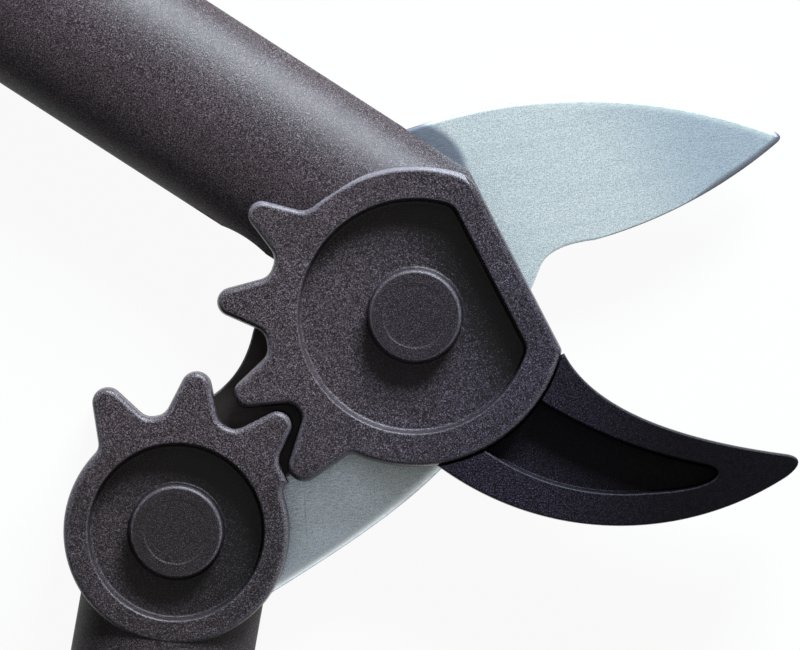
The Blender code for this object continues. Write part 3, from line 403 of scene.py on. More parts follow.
def quarter(face, wall, steps=6):    # rounded edge from a level face to an upright wall
    points = []
    for i in range(steps + 1):
        a = math.pi / 2 * i / steps
        rise = 1 - math.cos(a)
        points.append((face[0] + (wall[0] - face[0]) * math.sin(a), face[1] + (wall[1] - face[1]) * rise))
    return points


def wornAndLit(points, most):    # an edge's rows with their wear and painted edge highlight, highest halfway round it
    last = len(points) - 1
    return [(far, z, most * math.sin(math.pi * i / last)) for i, (far, z) in enumerate(points)]


def prism(name, outline, low=-6.0, high=38.0):    # by itself it stands clear of both faces of the head
    shell = Shell()
    shell.block([shell.level(outline, z) for z in (low, high)])
    return shell.finish(name, None)


def applied(piece):    # its modifiers are worked into its mesh
    graph = bpy.context.evaluated_depsgraph_get()
    mesh = bpy.data.meshes.new_from_object(piece.evaluated_get(graph))
    old = piece.data
    piece.modifiers.clear()
    piece.data = mesh
    bpy.data.meshes.remove(old)
    mesh.name = piece.name
    return piece


def carve(target, tools):
    for tool in tools:
        modifier = target.modifiers.new("cut", "BOOLEAN")
        modifier.operation, modifier.solver, modifier.object = "DIFFERENCE", "EXACT", tool
    applied(target)
    for tool in tools:
        bpy.data.meshes.remove(tool.data)
    return target


def smoothed(piece, sharp=38):
    piece.data.shade_smooth()
    piece.data.set_sharp_from_angle(angle=math.radians(sharp))
    for polygon in piece.data.polygons:    # level faces keep an even shade
        if abs(polygon.normal.z) > 0.9995:
            polygon.use_smooth = False
    return piece


def joined(name, pieces):    # several closed skins as one piece
    bm = bmesh.new()
    for piece in pieces:
        bm.from_mesh(piece.data)
    mesh = bpy.data.meshes.new(name)
    bm.to_mesh(mesh)
    bm.free()
    made = smoothed(placed(name, mesh, pieces[0].data.materials[0]))
    for piece in pieces:
        bpy.data.meshes.remove(piece.data)
    return made


def settle(piece, body, slotName, *nodes):
    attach(piece, body)
    if nodes:
        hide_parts(*nodes)
    return piece


# Shader arithmetic

def mathNode(operation, reflected=False):    # a method that adds one Math node
    def method(self, *others):
        values = (*others, self) if reflected else (self, *others)
        return self.nodes.node("ShaderNodeMath", {"operation": operation}, dict(enumerate(values)))["Value"]

    return method


class Signal:    # a socket that takes plain arithmetic
    def __init__(self, nodes, socket):
        self.nodes, self.socket = nodes, socket

    __add__, __radd__ = mathNode("ADD"), mathNode("ADD", True)
    __sub__, __rsub__ = mathNode("SUBTRACT"), mathNode("SUBTRACT", True)
    __mul__, __rmul__ = mathNode("MULTIPLY"), mathNode("MULTIPLY", True)
    __truediv__, __rtruediv__ = mathNode("DIVIDE"), mathNode("DIVIDE", True)
    __gt__, __lt__ = mathNode("GREATER_THAN"), mathNode("LESS_THAN")
    __abs__, root = mathNode("ABSOLUTE"), mathNode("SQRT")
    upTo, atLeast = mathNode("MINIMUM"), mathNode("MAXIMUM")


class Nodes:    # the nodes of one tree
    def __init__(self, tree):
        self.tree = tree

    def node(self, kind, settings=None, inputs=None):
        made = self.tree.nodes.new(kind)
        for key, value in (settings or {}).items():
            setattr(made, key, value)
        for key, value in (inputs or {}).items():
            socket = made.inputs[key] if isinstance(key, int) else next(
                s for s in made.inputs if s.identifier == key or s.name == key)
            if isinstance(value, Signal):
                self.tree.links.new(value.socket, socket)
            elif isinstance(value, tuple) and len(value) == 3 and socket.type == "RGBA":
                socket.default_value = (*value, 1.0)
            else:
                socket.default_value = value
        return {s.identifier: Signal(self, s) for s in made.outputs} | {
            s.name: Signal(self, s) for s in reversed(made.outputs)}

    def ranged(self, value, low, high, toLow=0.0, toHigh=1.0, smooth=True):
        kind = "SMOOTHSTEP" if smooth else "LINEAR"
        return self.node("ShaderNodeMapRange", {"interpolation_type": kind, "clamp": True}, {
            "Value": value, "From Min": low, "From Max": high, "To Min": toLow, "To Max": toHigh})["Result"]

    def blended(self, amount, none, full):    # plain values, for no amount and for the full one
        return self.ranged(amount, 0.0, 1.0, none, full, False)


class Finish(Nodes):    # one material's nodes
    def __init__(self, name, roughness=0.5, metallic=0.0, specular=0.5):
        self.material = bpy.data.materials.new(name)
        self.material.use_nodes = True
        super().__init__(self.material.node_tree)
        self.shader = self.tree.nodes["Principled BSDF"]
        self.shader.inputs["Roughness"].default_value = roughness
        self.shader.inputs["Metallic"].default_value = metallic
        self.shader.inputs["Specular IOR Level"].default_value = specular
        self.place = self.node("ShaderNodeTexCoord")["Object"]
        parts = self.node("ShaderNodeSeparateXYZ", {}, {"Vector": self.place})
        self.x, self.y, self.z = (parts[k] * 1000.0 for k in "XYZ")    # in mm

    def noise(self, scale, detail, rough, place=None):
        return self.node("ShaderNodeTexNoise", {"noise_dimensions": "3D"}, {
            "Vector": place or self.place, "Scale": scale, "Detail": detail, "Roughness": rough})["Fac"]

    def brushed(self, scale, turn):    # the place, scaled for each axis and turned about Z
        return self.node("ShaderNodeMapping", {"vector_type": "TEXTURE"}, {
            "Vector": self.place, "Rotation": (0, 0, turn), "Scale": tuple(1 / s for s in scale)})["Vector"]

    def mix(self, amount, one, two, blend="MIX"):
        settings = {"data_type": "RGBA", "blend_type": blend, "clamp_factor": True}
        return self.node("ShaderNodeMix", settings, {
            "Factor_Float": amount, "A_Color": one, "B_Color": two})["Result_Color"]

    def distance(self, centre):    # from an upright axis, in mm
        dx, dy = self.x - centre[0], self.y - centre[1]
        return (dx * dx + dy * dy).root()

    def wearAndEdgeLight(self):
        return self.node("ShaderNodeAttribute", {"attribute_name": "wearAndEdgeLight"})["Fac"]

    def bump(self, height, strength, distance):
        return self.node("ShaderNodeBump", {}, {
            "Height": height, "Strength": strength, "Distance": distance})["Normal"]

    def set(self, **inputs):
        names = {"colour": "Base Color", "roughness": "Roughness",
                 "metallic": "Metallic", "normal": "Normal"}
        for key, value in inputs.items():
            self.tree.links.new(value.socket, self.shader.inputs[names[key]])
        return self.material


def linear(red, green, blue):    # screen colour 0 to 255 as light
    return tuple(v / 12.92 if v <= 0.04045 else ((v + 0.055) / 1.055) ** 2.4
                 for v in (red / 255, green / 255, blue / 255))


# Materials; a noise is given as its scale, detail and roughness

nylonLook = {
    "dark": linear(6, 5, 6),
    "light": linear(114, 103, 110),
    "speckAndGlint": linear(190, 184, 196),
    "boss": linear(20, 17, 21),     # the bosses' smoother, darker faces
    "deep": linear(9, 6, 6),        # painted shade, on the pockets' shaded sides and the plate over the blade's tail
    "warmLit": (1.0, 0.90, 0.88),      # painted light falloff: lit and warm at the handles' side
    "coolShade": (0.49, 0.48, 0.60),     # and painted shade, darker and cooler, at the jaws' side
    "grain": (3550.0, 2.0, 0.7),
    "coarse": (1500.0, 3.0, 0.65),
    "cloud": (90.0, 3.0, 0.55),
    "grainDepth": 0.00008,
    "roughness": 0.34,
    "witness": [((-81.2, -54.7), 2.1), ((-31.3, 4.3), 1.9), ((20.3, 10.5), 2.4)],    # ejector marks
    "witnessWidth": 0.22,
    "frontAbove": 20.0,             # what counts as the front, and as sunk below its face
    "sunkBelow": 27.0,
}


def charcoalNylon():
    look = nylonLook
    m = Finish("charcoalNylon", look["roughness"], specular=0.40)
    grain, coarse, cloud = (m.noise(*look[part]) for part in ("grain", "coarse", "cloud"))
    colour = m.mix(m.ranged(grain * 0.85 + coarse * 0.15, 0.42, 0.62), look["dark"], look["light"])

    # painted shade: darker where shadow falls on the plate over the blade's tail, and in the pockets beside
    # their bosses
    aboutMain, aboutTail = m.distance((0, 0)), m.distance(tailPivot)
    acrossFlat = m.x * math.cos(flatAngle) + m.y * math.sin(flatAngle)
    front = m.z > look["frontAbove"]
    sunk = front * (m.z < look["sunkBelow"])
    tail = m.ranged(aboutTail, 56.0, 38.0) * m.ranged(m.y, -26.0, -46.0) * front
    pocket = m.ranged(aboutMain, head["upperPocket"] + 0.4, head["upperPocket"]) * sunk
    pocket = pocket * (m.ranged(acrossFlat, 4.0, 15.0)
                       + m.ranged(m.x * 0.7 + m.y * 0.7, -22.0, 14.0) * 0.35)
    well = m.ranged(aboutTail, head["lowerPocket"] + 0.5, head["lowerPocket"] + 0.1) * sunk
    well = well * m.ranged((m.x - tailPivot[0]) * 0.9 + (m.y - tailPivot[1]) * 0.3, -12.0, 10.0)
    deep = (tail * 0.4 + pocket * 0.75 + well * 0.6).upTo(0.9)
    colour = m.mix(deep, colour, look["deep"])

    # painted light falloff across the head, lit at the handles' side, shaded towards the jaws
    onward = m.ranged(m.x - m.y * 0.3, -70.0, 38.0)
    # bright grain specks, partly painted glints: fewer in the painted shade and towards the handles' side
    colour = m.mix(m.ranged(grain, 0.61, 0.69) * (0.6 + onward * 0.4 - deep * 0.5), colour, look["speckAndGlint"])
    colour = m.mix(m.ranged(cloud, 0.35, 0.7, 0.0, 0.18), colour, look["dark"])
    bosses = m.ranged(aboutMain.upTo(aboutTail), 10.9, 10.2) * (m.z > 30.0)
    colour = m.mix(bosses * 0.55, colour, look["boss"])
    paintedFalloff = m.mix(onward * onward, look["warmLit"], look["coolShade"])
    colour = m.mix(1.0, colour, paintedFalloff, "MULTIPLY")

    rings = [m.ranged(abs(m.distance(centre) - radius), 0.0, look["witnessWidth"], 1.0, 0.0)
             for centre, radius in look["witness"]]
    marks = functools.reduce(Signal.atLeast, rings) * front
    colour = m.mix(marks * 0.13, colour, look["speckAndGlint"])
    # worn rounded edges lighter, partly a painted highlight: more along the upper plate's top edge, none
    # along the flat
    inFromFlat = acrossFlat < head["flat"] - 1.5
    edgeWearAndHighlight = m.ranged(grain, 0.35, 0.6, 0.05, 0.3) + m.ranged(m.y, 22.0, 30.0) * 0.4
    colour = m.mix(m.wearAndEdgeLight() * inFromFlat * edgeWearAndHighlight, colour, look["speckAndGlint"])
    normal = m.bump(grain + coarse * 0.5 - marks * 0.5, 1.0, look["grainDepth"])
    rough = m.ranged(coarse, 0.3, 0.7, look["roughness"] - 0.05, look["roughness"] + 0.07, False)
    return m.set(colour=colour, roughness=rough - m.wearAndEdgeLight() * 0.06, normal=normal)


castingLook = {
    "dark": linear(2, 2, 4),
    "light": linear(58, 51, 66),
    "speckAndGlint": linear(120, 116, 140),
    "shaded": linear(3, 2, 6),      # towards the tip
    "wornAndLit": linear(66, 64, 80),
    "grain": (2900.0, 2.0, 0.7),
    "lumps": (900.0, 3.0, 0.5),
    "grainDepth": 0.00006,
}


def castCoating():
    look = castingLook
    m = Finish("castCoating", 0.40, specular=0.15)
    grain, lumps = m.noise(*look["grain"]), m.noise(*look["lumps"])
    colour = m.mix(m.ranged(grain * 0.85 + lumps * 0.15, 0.42, 0.62), look["dark"], look["light"])
    colour = m.mix(m.ranged(grain, 0.62, 0.70) * 0.7, colour, look["speckAndGlint"])
    colour = m.mix(m.ranged(m.x, 18.0, 66.0, 0.0, 0.94), colour, look["shaded"])
    belowFront = m.z < head["hookFront"] - 0.03
    # worn edges lighter, partly a painted edge highlight
    colour = m.mix(m.wearAndEdgeLight() * belowFront * m.ranged(lumps, 0.35, 0.65, 0.05, 0.25), colour, look["wornAndLit"])
    rough = m.ranged(lumps, 0.3, 0.7, 0.38, 0.5, False)
    normal = m.bump(grain + lumps * 0.6, 0.8, look["grainDepth"])
    return m.set(colour=colour, roughness=rough, normal=normal)


bladeLook = {
    "steel": linear(230, 238, 236),
    "coolShade": linear(184, 198, 210),
    # painted light: the tail, in the head's shadow, made lighter
    "tail": linear(234, 246, 255),
    # painted shade on the blade beside the handle
    "hub": linear(126, 131, 142),
    "hubShade": ((-1.0, 33.0), 14.6, 12.4),    # centre, outer and inner radius of the painted shade beside the handle
    "spineHighlight": linear(238, 250, 246),              # painted highlight in a strip along the spine
    "spine": ((41.22, -76.03), 128.24),         # the spine's centre and radius
    "black": linear(66, 58, 55),                # the neck, darker and barely metallic
    "blackNeck": ((-46.0, -10.0), 33.0, 31.4),
    "brushed": linear(128, 146, 160),
    "bands": linear(150, 168, 186),
    "specks": linear(70, 76, 84),
    "ground": linear(236, 246, 248),            # painted highlight on the front edge
    "shadow": linear(74, 70, 82),               # and painted shade on it
    "brushTurn": 9.0,
    "scratches": [((-26.6, -41.5), (0.9, -15.0), 0.18, linear(122, 128, 138)),    # start, run, width, shade
                  ((-26.2, -41.5), (0.9, -15.0), 0.15, linear(250, 250, 250)),
                  ((-20.9, -43.2), (12.0, -4.9), 0.18, linear(150, 156, 164))],
    "roughness": 0.55,
    "tailRoughness": 0.3,
}


def scratch(m, colour, start, run, width, shade):    # a straight line that fades out at its ends
    dx, dy = m.x - start[0], m.y - start[1]
    length = math.hypot(*run)
    onward = (dx * run[0] + dy * run[1]) / length
    aside = abs(dy * run[0] - dx * run[1]) / length
    fade = m.ranged(abs(onward - length / 2), length / 2, length / 3)
    return m.mix(m.ranged(aside, 0.0, width, 1.0, 0.0) * fade * 0.35, colour, shade)


def brushedBlade():
    look = bladeLook
    m = Finish("brushedBlade", look["roughness"], 1.0)
    turn = math.radians(look["brushTurn"])
    lines = m.noise(1.0, 2.0, 0.6, m.brushed((520.0, 3600.0, 520.0), turn))
    broad = m.noise(1.0, 2.0, 0.5, m.brushed((24.0, 460.0, 24.0), turn))
    grain, rare = m.noise(3500.0, 2.0, 0.7), m.noise(300.0, 2.0, 0.6)
    # painted shade: the blade darker and cooler towards its upper right
    toRight = m.ranged(m.x * 0.9 + m.y * 0.45, 52.0, 84.0)
    toTail = m.ranged(m.x * 0.741 + m.y * 0.671, -30.0, -40.0)    # along the line between the pivots
    colour = m.mix(toRight * 0.85, look["steel"], look["coolShade"])
    # painted light on the tail where the head's shadow falls
    colour = m.mix(toTail, colour, look["tail"])
    # painted shade on the blade beside the handle
    hubPlace, hubOuter, hubInner = look["hubShade"]
    colour = m.mix(m.ranged(m.distance(hubPlace), hubOuter, hubInner), colour, look["hub"])
    colour = m.mix(m.ranged(grain * 0.75 + lines * 0.25, 0.42, 0.62) * 0.6, colour, look["brushed"])
    colour = m.mix(m.ranged(broad, 0.42, 0.7, 0.0, 0.1), colour, look["bands"])
    colour = m.mix(m.ranged(grain, 0.68, 0.76) * m.ranged(rare, 0.42, 0.6) * 0.6, colour, look["specks"])
    for row in look["scratches"]:
        colour = scratch(m, colour, *row)

    centre, radius = look["spine"]
    # painted highlight along the spine, fading out towards the shoulder
    strip = m.ranged(m.distance(centre), radius - 2.8, radius - 0.5) * m.ranged(m.x, 86.5, 85.0)
    colour = m.mix(strip * m.ranged(m.x, 15.0, 40.0, 0.0, 0.7), colour, look["spineHighlight"])
    neckPlace, neckOuter, neckInner = look["blackNeck"]
    neck = m.ranged(m.distance(neckPlace), neckOuter, neckInner)
    colour = m.mix(neck, colour, look["black"])
    wearAndEdgeLight = m.wearAndEdgeLight()    # above zero a painted highlight on the edge, below it painted shade
    colour = m.mix(wearAndEdgeLight.atLeast(0.0) * 0.75, colour, look["ground"])
    colour = m.mix((0.0 - wearAndEdgeLight).atLeast(0.0), colour, look["shadow"])
    normal = m.bump(lines * 0.6 + grain * 0.8 + broad * 0.3, 0.6, 0.00004)
    rough = m.ranged(lines, 0.3, 0.7, look["roughness"] - 0.08, look["roughness"] + 0.12, False)
    rough = rough - toTail * (look["roughness"] - look["tailRoughness"])
    return m.set(colour=colour, roughness=rough, normal=normal, metallic=1.0 - neck * 0.9)


def zincSteel():
    m = Finish("zincSteel", 0.34, 1.0)
    patch, grain = m.noise(350.0, 3.0, 0.55), m.noise(2400.0, 2.0, 0.5)
    colour = m.mix(m.ranged(patch, 0.35, 0.68), linear(176, 178, 180), linear(205, 204, 198))
    rough = m.ranged(patch, 0.3, 0.7, 0.26, 0.44, False)
    return m.set(colour=colour, roughness=rough, normal=m.bump(grain + patch * 0.6, 0.25, 0.00004))


def sinteredBronze():
    m = Finish("sinteredBronze", 0.42, 1.0)
    pores, patch = m.noise(3200.0, 1.0, 0.5), m.noise(300.0, 3.0, 0.5)
    colour = m.mix(m.ranged(patch, 0.35, 0.68), linear(176, 142, 88), linear(206, 176, 116))
    colour = m.mix(m.ranged(pores, 0.62, 0.72), colour, linear(84, 62, 40))
    return m.set(colour=colour, normal=m.bump(pores, 0.3, 0.00004))


def naturalAcetal():
    m = Finish("naturalAcetal", 0.35)
    cloud, grain = m.noise(160.0, 3.0, 0.5), m.noise(2500.0, 2.0, 0.5)
    colour = m.mix(m.ranged(cloud, 0.3, 0.7), linear(208, 205, 194), linear(222, 220, 211))
    return m.set(colour=colour, normal=m.bump(grain, 0.15, 0.00003))


def gripRubber():
    m = Finish("gripRubber", 0.68, specular=0.3)
    pebble, dust = m.noise(1500.0, 2.0, 0.55), m.noise(120.0, 4.0, 0.6)
    colour = m.mix(m.ranged(pebble, 0.35, 0.65), linear(30, 28, 31), linear(50, 47, 51))
    colour = m.mix(m.ranged(dust, 0.5, 0.8, 0.0, 0.35), colour, linear(78, 74, 77))
    colour = m.mix(m.wearAndEdgeLight() * 0.4, colour, linear(72, 68, 72))
    rough = m.ranged(dust, 0.3, 0.7, 0.6, 0.8, False)
    return m.set(colour=colour, roughness=rough, normal=m.bump(pebble, 0.6, 0.00015))


def capNylon():
    m = Finish("capNylon", 0.5, specular=0.35)
    grain, cloud = m.noise(3000.0, 2.0, 0.55), m.noise(110.0, 3.0, 0.5)
    colour = m.mix(m.ranged(grain * 0.7 + cloud * 0.3, 0.36, 0.64), linear(40, 37, 41), linear(64, 60, 65))
    colour = m.mix(m.wearAndEdgeLight() * 0.5, colour, linear(86, 82, 88))
    return m.set(colour=colour, normal=m.bump(grain, 0.5, 0.00006))


nylon, casting, steel = charcoalNylon(), castCoating(), brushedBlade()
zinc, bronze, acetal = zincSteel(), sinteredBronze(), naturalAcetal()
rubber, capFinish = gripRubber(), capNylon()
print("materials ready")


# Gear heads

headEdges = {
    "draft": 0.25,              # how far the outer wall leans in between mid height and face
    "fillet": 1.4,
    "backChamfer": 0.3,
    "pocketDepth": 6.5,
    "pocketDraft": 0.35,
    "pocketFlat": 20.4,
    "pocketCorner": 1.8,
    "brim": 0.6,
    "floorFillet": 0.8,
    "bossRadius": 11.1,
    "bossDraft": 0.3,
    "bossSink": 0.4,
    "bossFillet": 0.9,
    "bossFoot": 0.7,
    "support": 0.12,            # narrow flat strip that keeps the shading of a flat face flat
    "dishRadius": 7.6,
    "dishDepth": 0.11,
    "counterbore": 8.3,         # room for the bolt's head and washer
    "counterboreFloor": 7.1,
    "boltHole": 4.3,
    "brokenEdge": 0.3,
}


def boltOpening(depth):    # radius and depth down the counterbore and the bolt's hole
    e = headEdges
    bore, floor, hole, edge = e["counterbore"], e["counterboreFloor"], e["boltHole"], e["brokenEdge"]
    return [(bore + edge, e["bossSink"]), (bore, e["bossSink"] + edge), (bore, floor - 0.2),
            (bore - 0.2, floor), (hole + edge, floor), (hole, floor + edge), (hole, depth)]


def dished(radius):    # radius, depth and wear into the shallow dish of a plain boss
    e = headEdges
    sink, dish = e["bossSink"], e["dishDepth"]
    return [(radius + 0.3, sink, 0), (radius + 0.15, sink + dish * 0.25, 0.1),
            (radius - 0.05, sink + dish * 0.85, 0.1), (radius - 0.2, sink + dish, 0)]


def headPlate(shell, outline, pocket, centre, face, back, opening):
    # one gear plate with its pocket and boss; face is its outer level, back its inner one
    e = headEdges
    side, deep = (1 if face > back else -1), abs(face - back)
    support, depth = e["support"], e["pocketDepth"]

    def stacked(stackOutline, rows):    # rows: inset, depth below the face, wear and painted edge light
        return shell.stack(stackOutline, [(far, face - side * down, wearAndEdgeLight) for far, down, wearAndEdgeLight in rows])

    fillet, draft, chamfer = e["fillet"], e["draft"], e["backChamfer"]
    outer = [(draft + fillet + support, 0, 0)] + wornAndLit(quarter((draft + fillet, 0), (draft, fillet)), 0.8)
    outer += [(draft * 0.9, fillet * 1.9, 0), (0.06, deep - chamfer * 2, 0),
              (0.0, deep - chamfer, 0), (chamfer, deep, 0)]
    outerRings = stacked(outline, outer)

    brim, floorFillet, lean = e["brim"], e["floorFillet"], e["pocketDraft"]
    wall = [(-brim - support, 0, 0)] + wornAndLit(quarter((-brim, 0), (0, brim), 5), 0.4)
    wall += [(lean, depth - floorFillet, 0)]
    wall += wornAndLit(quarter((lean + floorFillet, depth), (lean, depth - floorFillet)), 0.15)[::-1]
    wall += [(lean + floorFillet + support, depth, 0)]
    pocketRings = stacked(pocket, wall)
    shell.sheet(outerRings[0], pocketRings[0])

    foot, lean, sink, top = e["bossFoot"], e["bossDraft"], e["bossSink"], e["bossFillet"]
    post = [(-lean - foot - support, depth, 0)]
    post += wornAndLit(quarter((-lean - foot, depth), (-lean, depth - foot), 5), 0.1)
    post += wornAndLit(quarter((top, sink), (0, sink + top), 5), 0.8)[::-1]
    post += [(top + support, sink, 0)]
    inside = [(r, down, 0) for r, down in opening] if opening else dished(e["dishRadius"])
    post += [(e["bossRadius"] - r, down, wearAndEdgeLight) for r, down, wearAndEdgeLight in inside]
    bossRings = stacked(circle(e["bossRadius"], centre), post)
    shell.sheet(pocketRings[-1], bossRings[0])
    if opening:
        shell.sheet(outerRings[-1], bossRings[-1])
    else:
        shell.sheet(bossRings[-1])
        shell.sheet(outerRings[-1])


# Lever tubes

tube = {
    "width": 43.4,
    "thickness": 31.4,
    "upright": 0.36,            # share of the half thickness that the side walls stay upright
    "neckWidth": 34.0,
    "neckThickness": 27.0,
    "taperStart": 115.0,
    "headStep": 5.0,            # from ring to ring before the taper starts
    "gripLength": 165.0,
    "gripWall": 3.6,
    "gripSwell": 39.0,
    "bow": 13.0,
    "wall": 4.0,
    "capFlange": 4.5,
    "capPlug": 14.0,
    "upperOverlap": 10.0,       # how far the upper tube runs into its plates past the pivot
    "upperCore": 33.2,          # the tubes are cut away within these radii
    "lowerCore": 24.6,
    "lowerSlot": 27.8,
    "reliefRadius": 30.0,
    "tangWidth": 18.0,
    "tangEnd": 92.0,
    "screwPlaces": [64.0, 84.0],
    "screwHead": 4.0,
    "screwSink": 4.4,
    "screwHeadHeight": 2.6,
}
levers = {
    "upper": {"angle": 147.2, "offset": 14.8, "length": 590.0, "outward": 1},
    "lower": {"angle": 260.0, "offset": 1.7, "length": 522.0, "outward": -1},
}
coreWidth = tube["neckWidth"] - 2 * tube["gripWall"]
coreThickness = tube["neckThickness"] - 2 * tube["gripWall"]


def section(halfWidth, halfHeight):    # oval with its sides cut upright
    start = math.asin(tube["upright"])
    wide = halfWidth / math.cos(start)
    count = fineness["tube"] // 4
    part = []
    for i in range(count):
        a = start + (math.pi / 2 - start) * i / (count - 0.5)
        part.append((wide * math.cos(a), halfHeight * math.sin(a)))
    upper = part + [(-x, y) for x, y in part[::-1]]
    return upper + [(-x, -y) for x, y in upper]


class LeverPath:    # one lever's centre line, from its pivot
    def __init__(self, pivot, angle, offset, length, outward):
        self.pivot, self.angle, self.offset, self.length = pivot, math.radians(angle), offset, length
        self.outward = outward
        self.gripEnd = length - tube["capFlange"]
        self.gripStart = self.gripEnd - tube["gripLength"]

    def taper(self, s):
        return smoothStep((s - tube["taperStart"]) / (self.gripStart - tube["taperStart"]))

    def centre(self, s):
        x, y = turned((s, -self.outward * (self.offset + tube["bow"] * self.taper(s))), self.angle)
        return (x + self.pivot[0], y + self.pivot[1])

    def ring(self, s, width, thickness):
        x, y = self.centre(s)
        run = unit(self.centre(s - 0.5), self.centre(s + 0.5))
        return [(x - run[1] * a, y + run[0] * a, head["thickness"] / 2 + b)
                for a, b in section(width / 2, thickness / 2)]

    def row(self, s):    # place, width, thickness and wear of the shank itself
        t = self.taper(s)
        width = tube["width"] + (tube["neckWidth"] - tube["width"]) * t
        thickness = tube["thickness"] + (tube["neckThickness"] - tube["thickness"]) * t
        return (s, width, thickness, 0.0)

    def local(self, points):    # points along and across the lever's axis, to the frame
        return moved([turned(p, self.angle) for p in points], self.pivot)


upperPath = LeverPath((0, 0), **levers["upper"])
lowerPath = LeverPath(tailPivot, **levers["lower"])


def skinAlong(path, rows, name, finishMaterial, sharp=38, closed=False):
    # a skin round a lever's centre line; rows hold place, width, thickness and wear
    shell = Shell()
    rings = [shell.ring(path.ring(s, width, thickness), wearAndEdgeLight) for s, width, thickness, wearAndEdgeLight in rows]
    shell.bands(rings, closed)
    if not closed:
        shell.bm.faces.new(rings[0])
        shell.bm.faces.new(rings[-1])
    return shell.finish(name, finishMaterial, sharp)


def shank(name, path, start, tools):
    places = [start]
    while places[-1] < tube["taperStart"]:
        places.append(places[-1] + tube["headStep"])
    low, steps = places[-1], fineness["shank"]
    places += [low + (path.gripStart - low) * i / steps for i in range(1, steps + 1)]
    rows = [path.row(s) for s in places]
    rows += [(s, coreWidth, coreThickness, 0.0) for s in (path.gripStart, path.gripEnd)]
    return smoothed(carve(skinAlong(path, rows, name, nylon), tools), 30)


def upperSlot():    # room between the plates for the blade's shoulder, hub and neck
    past, hub, shoulder, side, neck = 67.5, 34.3, 26.8, 18.0, 58.5
    points = [(-past, past), (-past, -past), (shoulder, -past)]
    points += arcAbout(hub, -math.acos(shoulder / hub), -math.asin(side / hub))
    points += arcAbout(neck, -math.asin(side / neck), math.radians(60))
    points.append((0, past))
    return upperPath.local(points)


def closedTipRelief():    # clears the lower gear's leading tooth with the jaws closed
    closing = math.radians(head["closingAngle"])
    pivot = polar(head["pivotSpacing"], math.radians(head["tailAngle"]) - closing)
    tipAngle = math.radians(teeth["lowerAngles"][-1]) - closing * (1 + head["gearRatio"])
    tip = polar(teeth["lowerTip"] - teeth["lowerRound"], tipAngle, pivot)
    back = tube["reliefRadius"] - teeth["lowerRound"] - head["gap"]
    return circle(tube["reliefRadius"], polar(back, upperPath.angle + math.pi / 2, tip), 180)


def tangOutline(start, gap=0.0):    # the hook's tang, or with a gap the room for it
    middle, half, end = -levers["upper"]["offset"], tube["tangWidth"] / 2 + gap, tube["tangEnd"] + gap
    return upperPath.local([(start, middle - half), (end, middle - half), (end, middle + half),
                            (start, middle + half)])


def lever(side, tubePiece, outline, pocket, centre, plateLow):    # both plates and the tube as one moulding
    plates, rear = [], head["rearPlate"]
    for face, back, opening in ((head["thickness"], plateLow, None), (0.0, rear, boltOpening(rear))):
        shell = Shell()
        headPlate(shell, outline, pocket, centre, face, back, opening)
        plates.append(shell.finish(side + "Plate", nylon))
    made = joined(side + "LeverMoulding", plates + [tubePiece])
    return settle(made, side + "_lever", "handle_plastic", side + "_handle")


def upperLever():
    flat, far, gap, plateLow = head["flat"], 90.0, head["gap"], head["upperPlateLow"]
    beyondFlat = [(flat, -far), (flat + far, -far), (flat + far, far), (flat, far)]
    tubeCrest = (head["thickness"] - tube["thickness"]) / 2
    wellTop = tubeCrest + tube["screwSink"] + tube["screwHeadHeight"] + gap
    tools = [prism("coreTool", circle(tube["upperCore"])),
             prism("flatTool", [turned(p, flatAngle) for p in beyondFlat]),
             prism("reliefTool", closedTipRelief()),
             prism("slotTool", upperSlot(), head["rearPlate"], plateLow),
             prism("tangTool", tangOutline(25.5, gap), head["hookLow"] - gap, plateLow - 0.05)]
    for s in tube["screwPlaces"]:
        well = circle(tube["screwHead"] + gap, upperPath.centre(s), 48)
        tools.append(prism("wellTool", well, high=wellTop))
    tubePiece = shank("upperShank", upperPath, -tube["upperOverlap"], tools)
    pocket = chordedDisc(head["upperPocket"], headEdges["pocketFlat"], headEdges["pocketCorner"])
    return lever("upper", tubePiece, upperGearOutline(), pocket, (0, 0), plateLow)


def lowerLever():
    far = 58.7
    openSide = lowerPath.local([(-far, -far), (0, -far), (0, far), (-far, far)])
    low, high = head["rearPlate"], head["lowerPlateLow"]
    tools = [prism("coreTool", circle(tube["lowerCore"], tailPivot)),
             prism("slotTool", circle(tube["lowerSlot"], tailPivot), low, high),
             prism("openTool", openSide, low, high)]
    tubePiece = shank("lowerShank", lowerPath, 0.0, tools)
    pocket = circle(head["lowerPocket"], tailPivot, fineness["circle"])
    return lever("lower", tubePiece, moved(lowerGearOutline(), tailPivot), pocket, tailPivot, high)


upperLever()
lowerLever()
print("levers made")


# Hook

hookShape = {
    "root": 4.2,
    "heel": (35.75, -8.9),
    "tip": (88.6, -33.0),
    "toTip": (0.991, -0.132),
    "tipRound": 2.3,
    "throatPull": (8.8, -38.0),     # how far the throat's curve is drawn at heel and tip
    "backRadius": 73.5,
    "backCentre": (49.1, 23.2),
    "backOverrun": 5.0,
    "seatLow": -82.5,               # lower end of the jaw's seat against the gear plate
    "pocketRadius": 58.6,
    "pocketCentre": (50.0, 16.1),
    "pocketDepth": 8.6,
    "pocketStart": (28.5, -19.4),
    "pocketBend": (48.0, -31.6),
    "pocketEnd": (69.6, -35.6),
    "pocketNose": [(75.5, -37.2), (72.5, -41.7)],
    "pocketNoseStart": 5.0,         # how far past its centre the lower edge leaves its arc
    "pocketArcEnd": 233.5,
    "edge": 0.4,
    "brim": 0.5,
    "draft": 0.2,
    "rootRadius": 33.0,
    "bridge": (-73.0, -21.0),       # where the root runs on into the jaw
    "bridgeRadii": (40.1, 27.0),
    "tangStart": 10.0,
    "screwHole": 2.4,
}


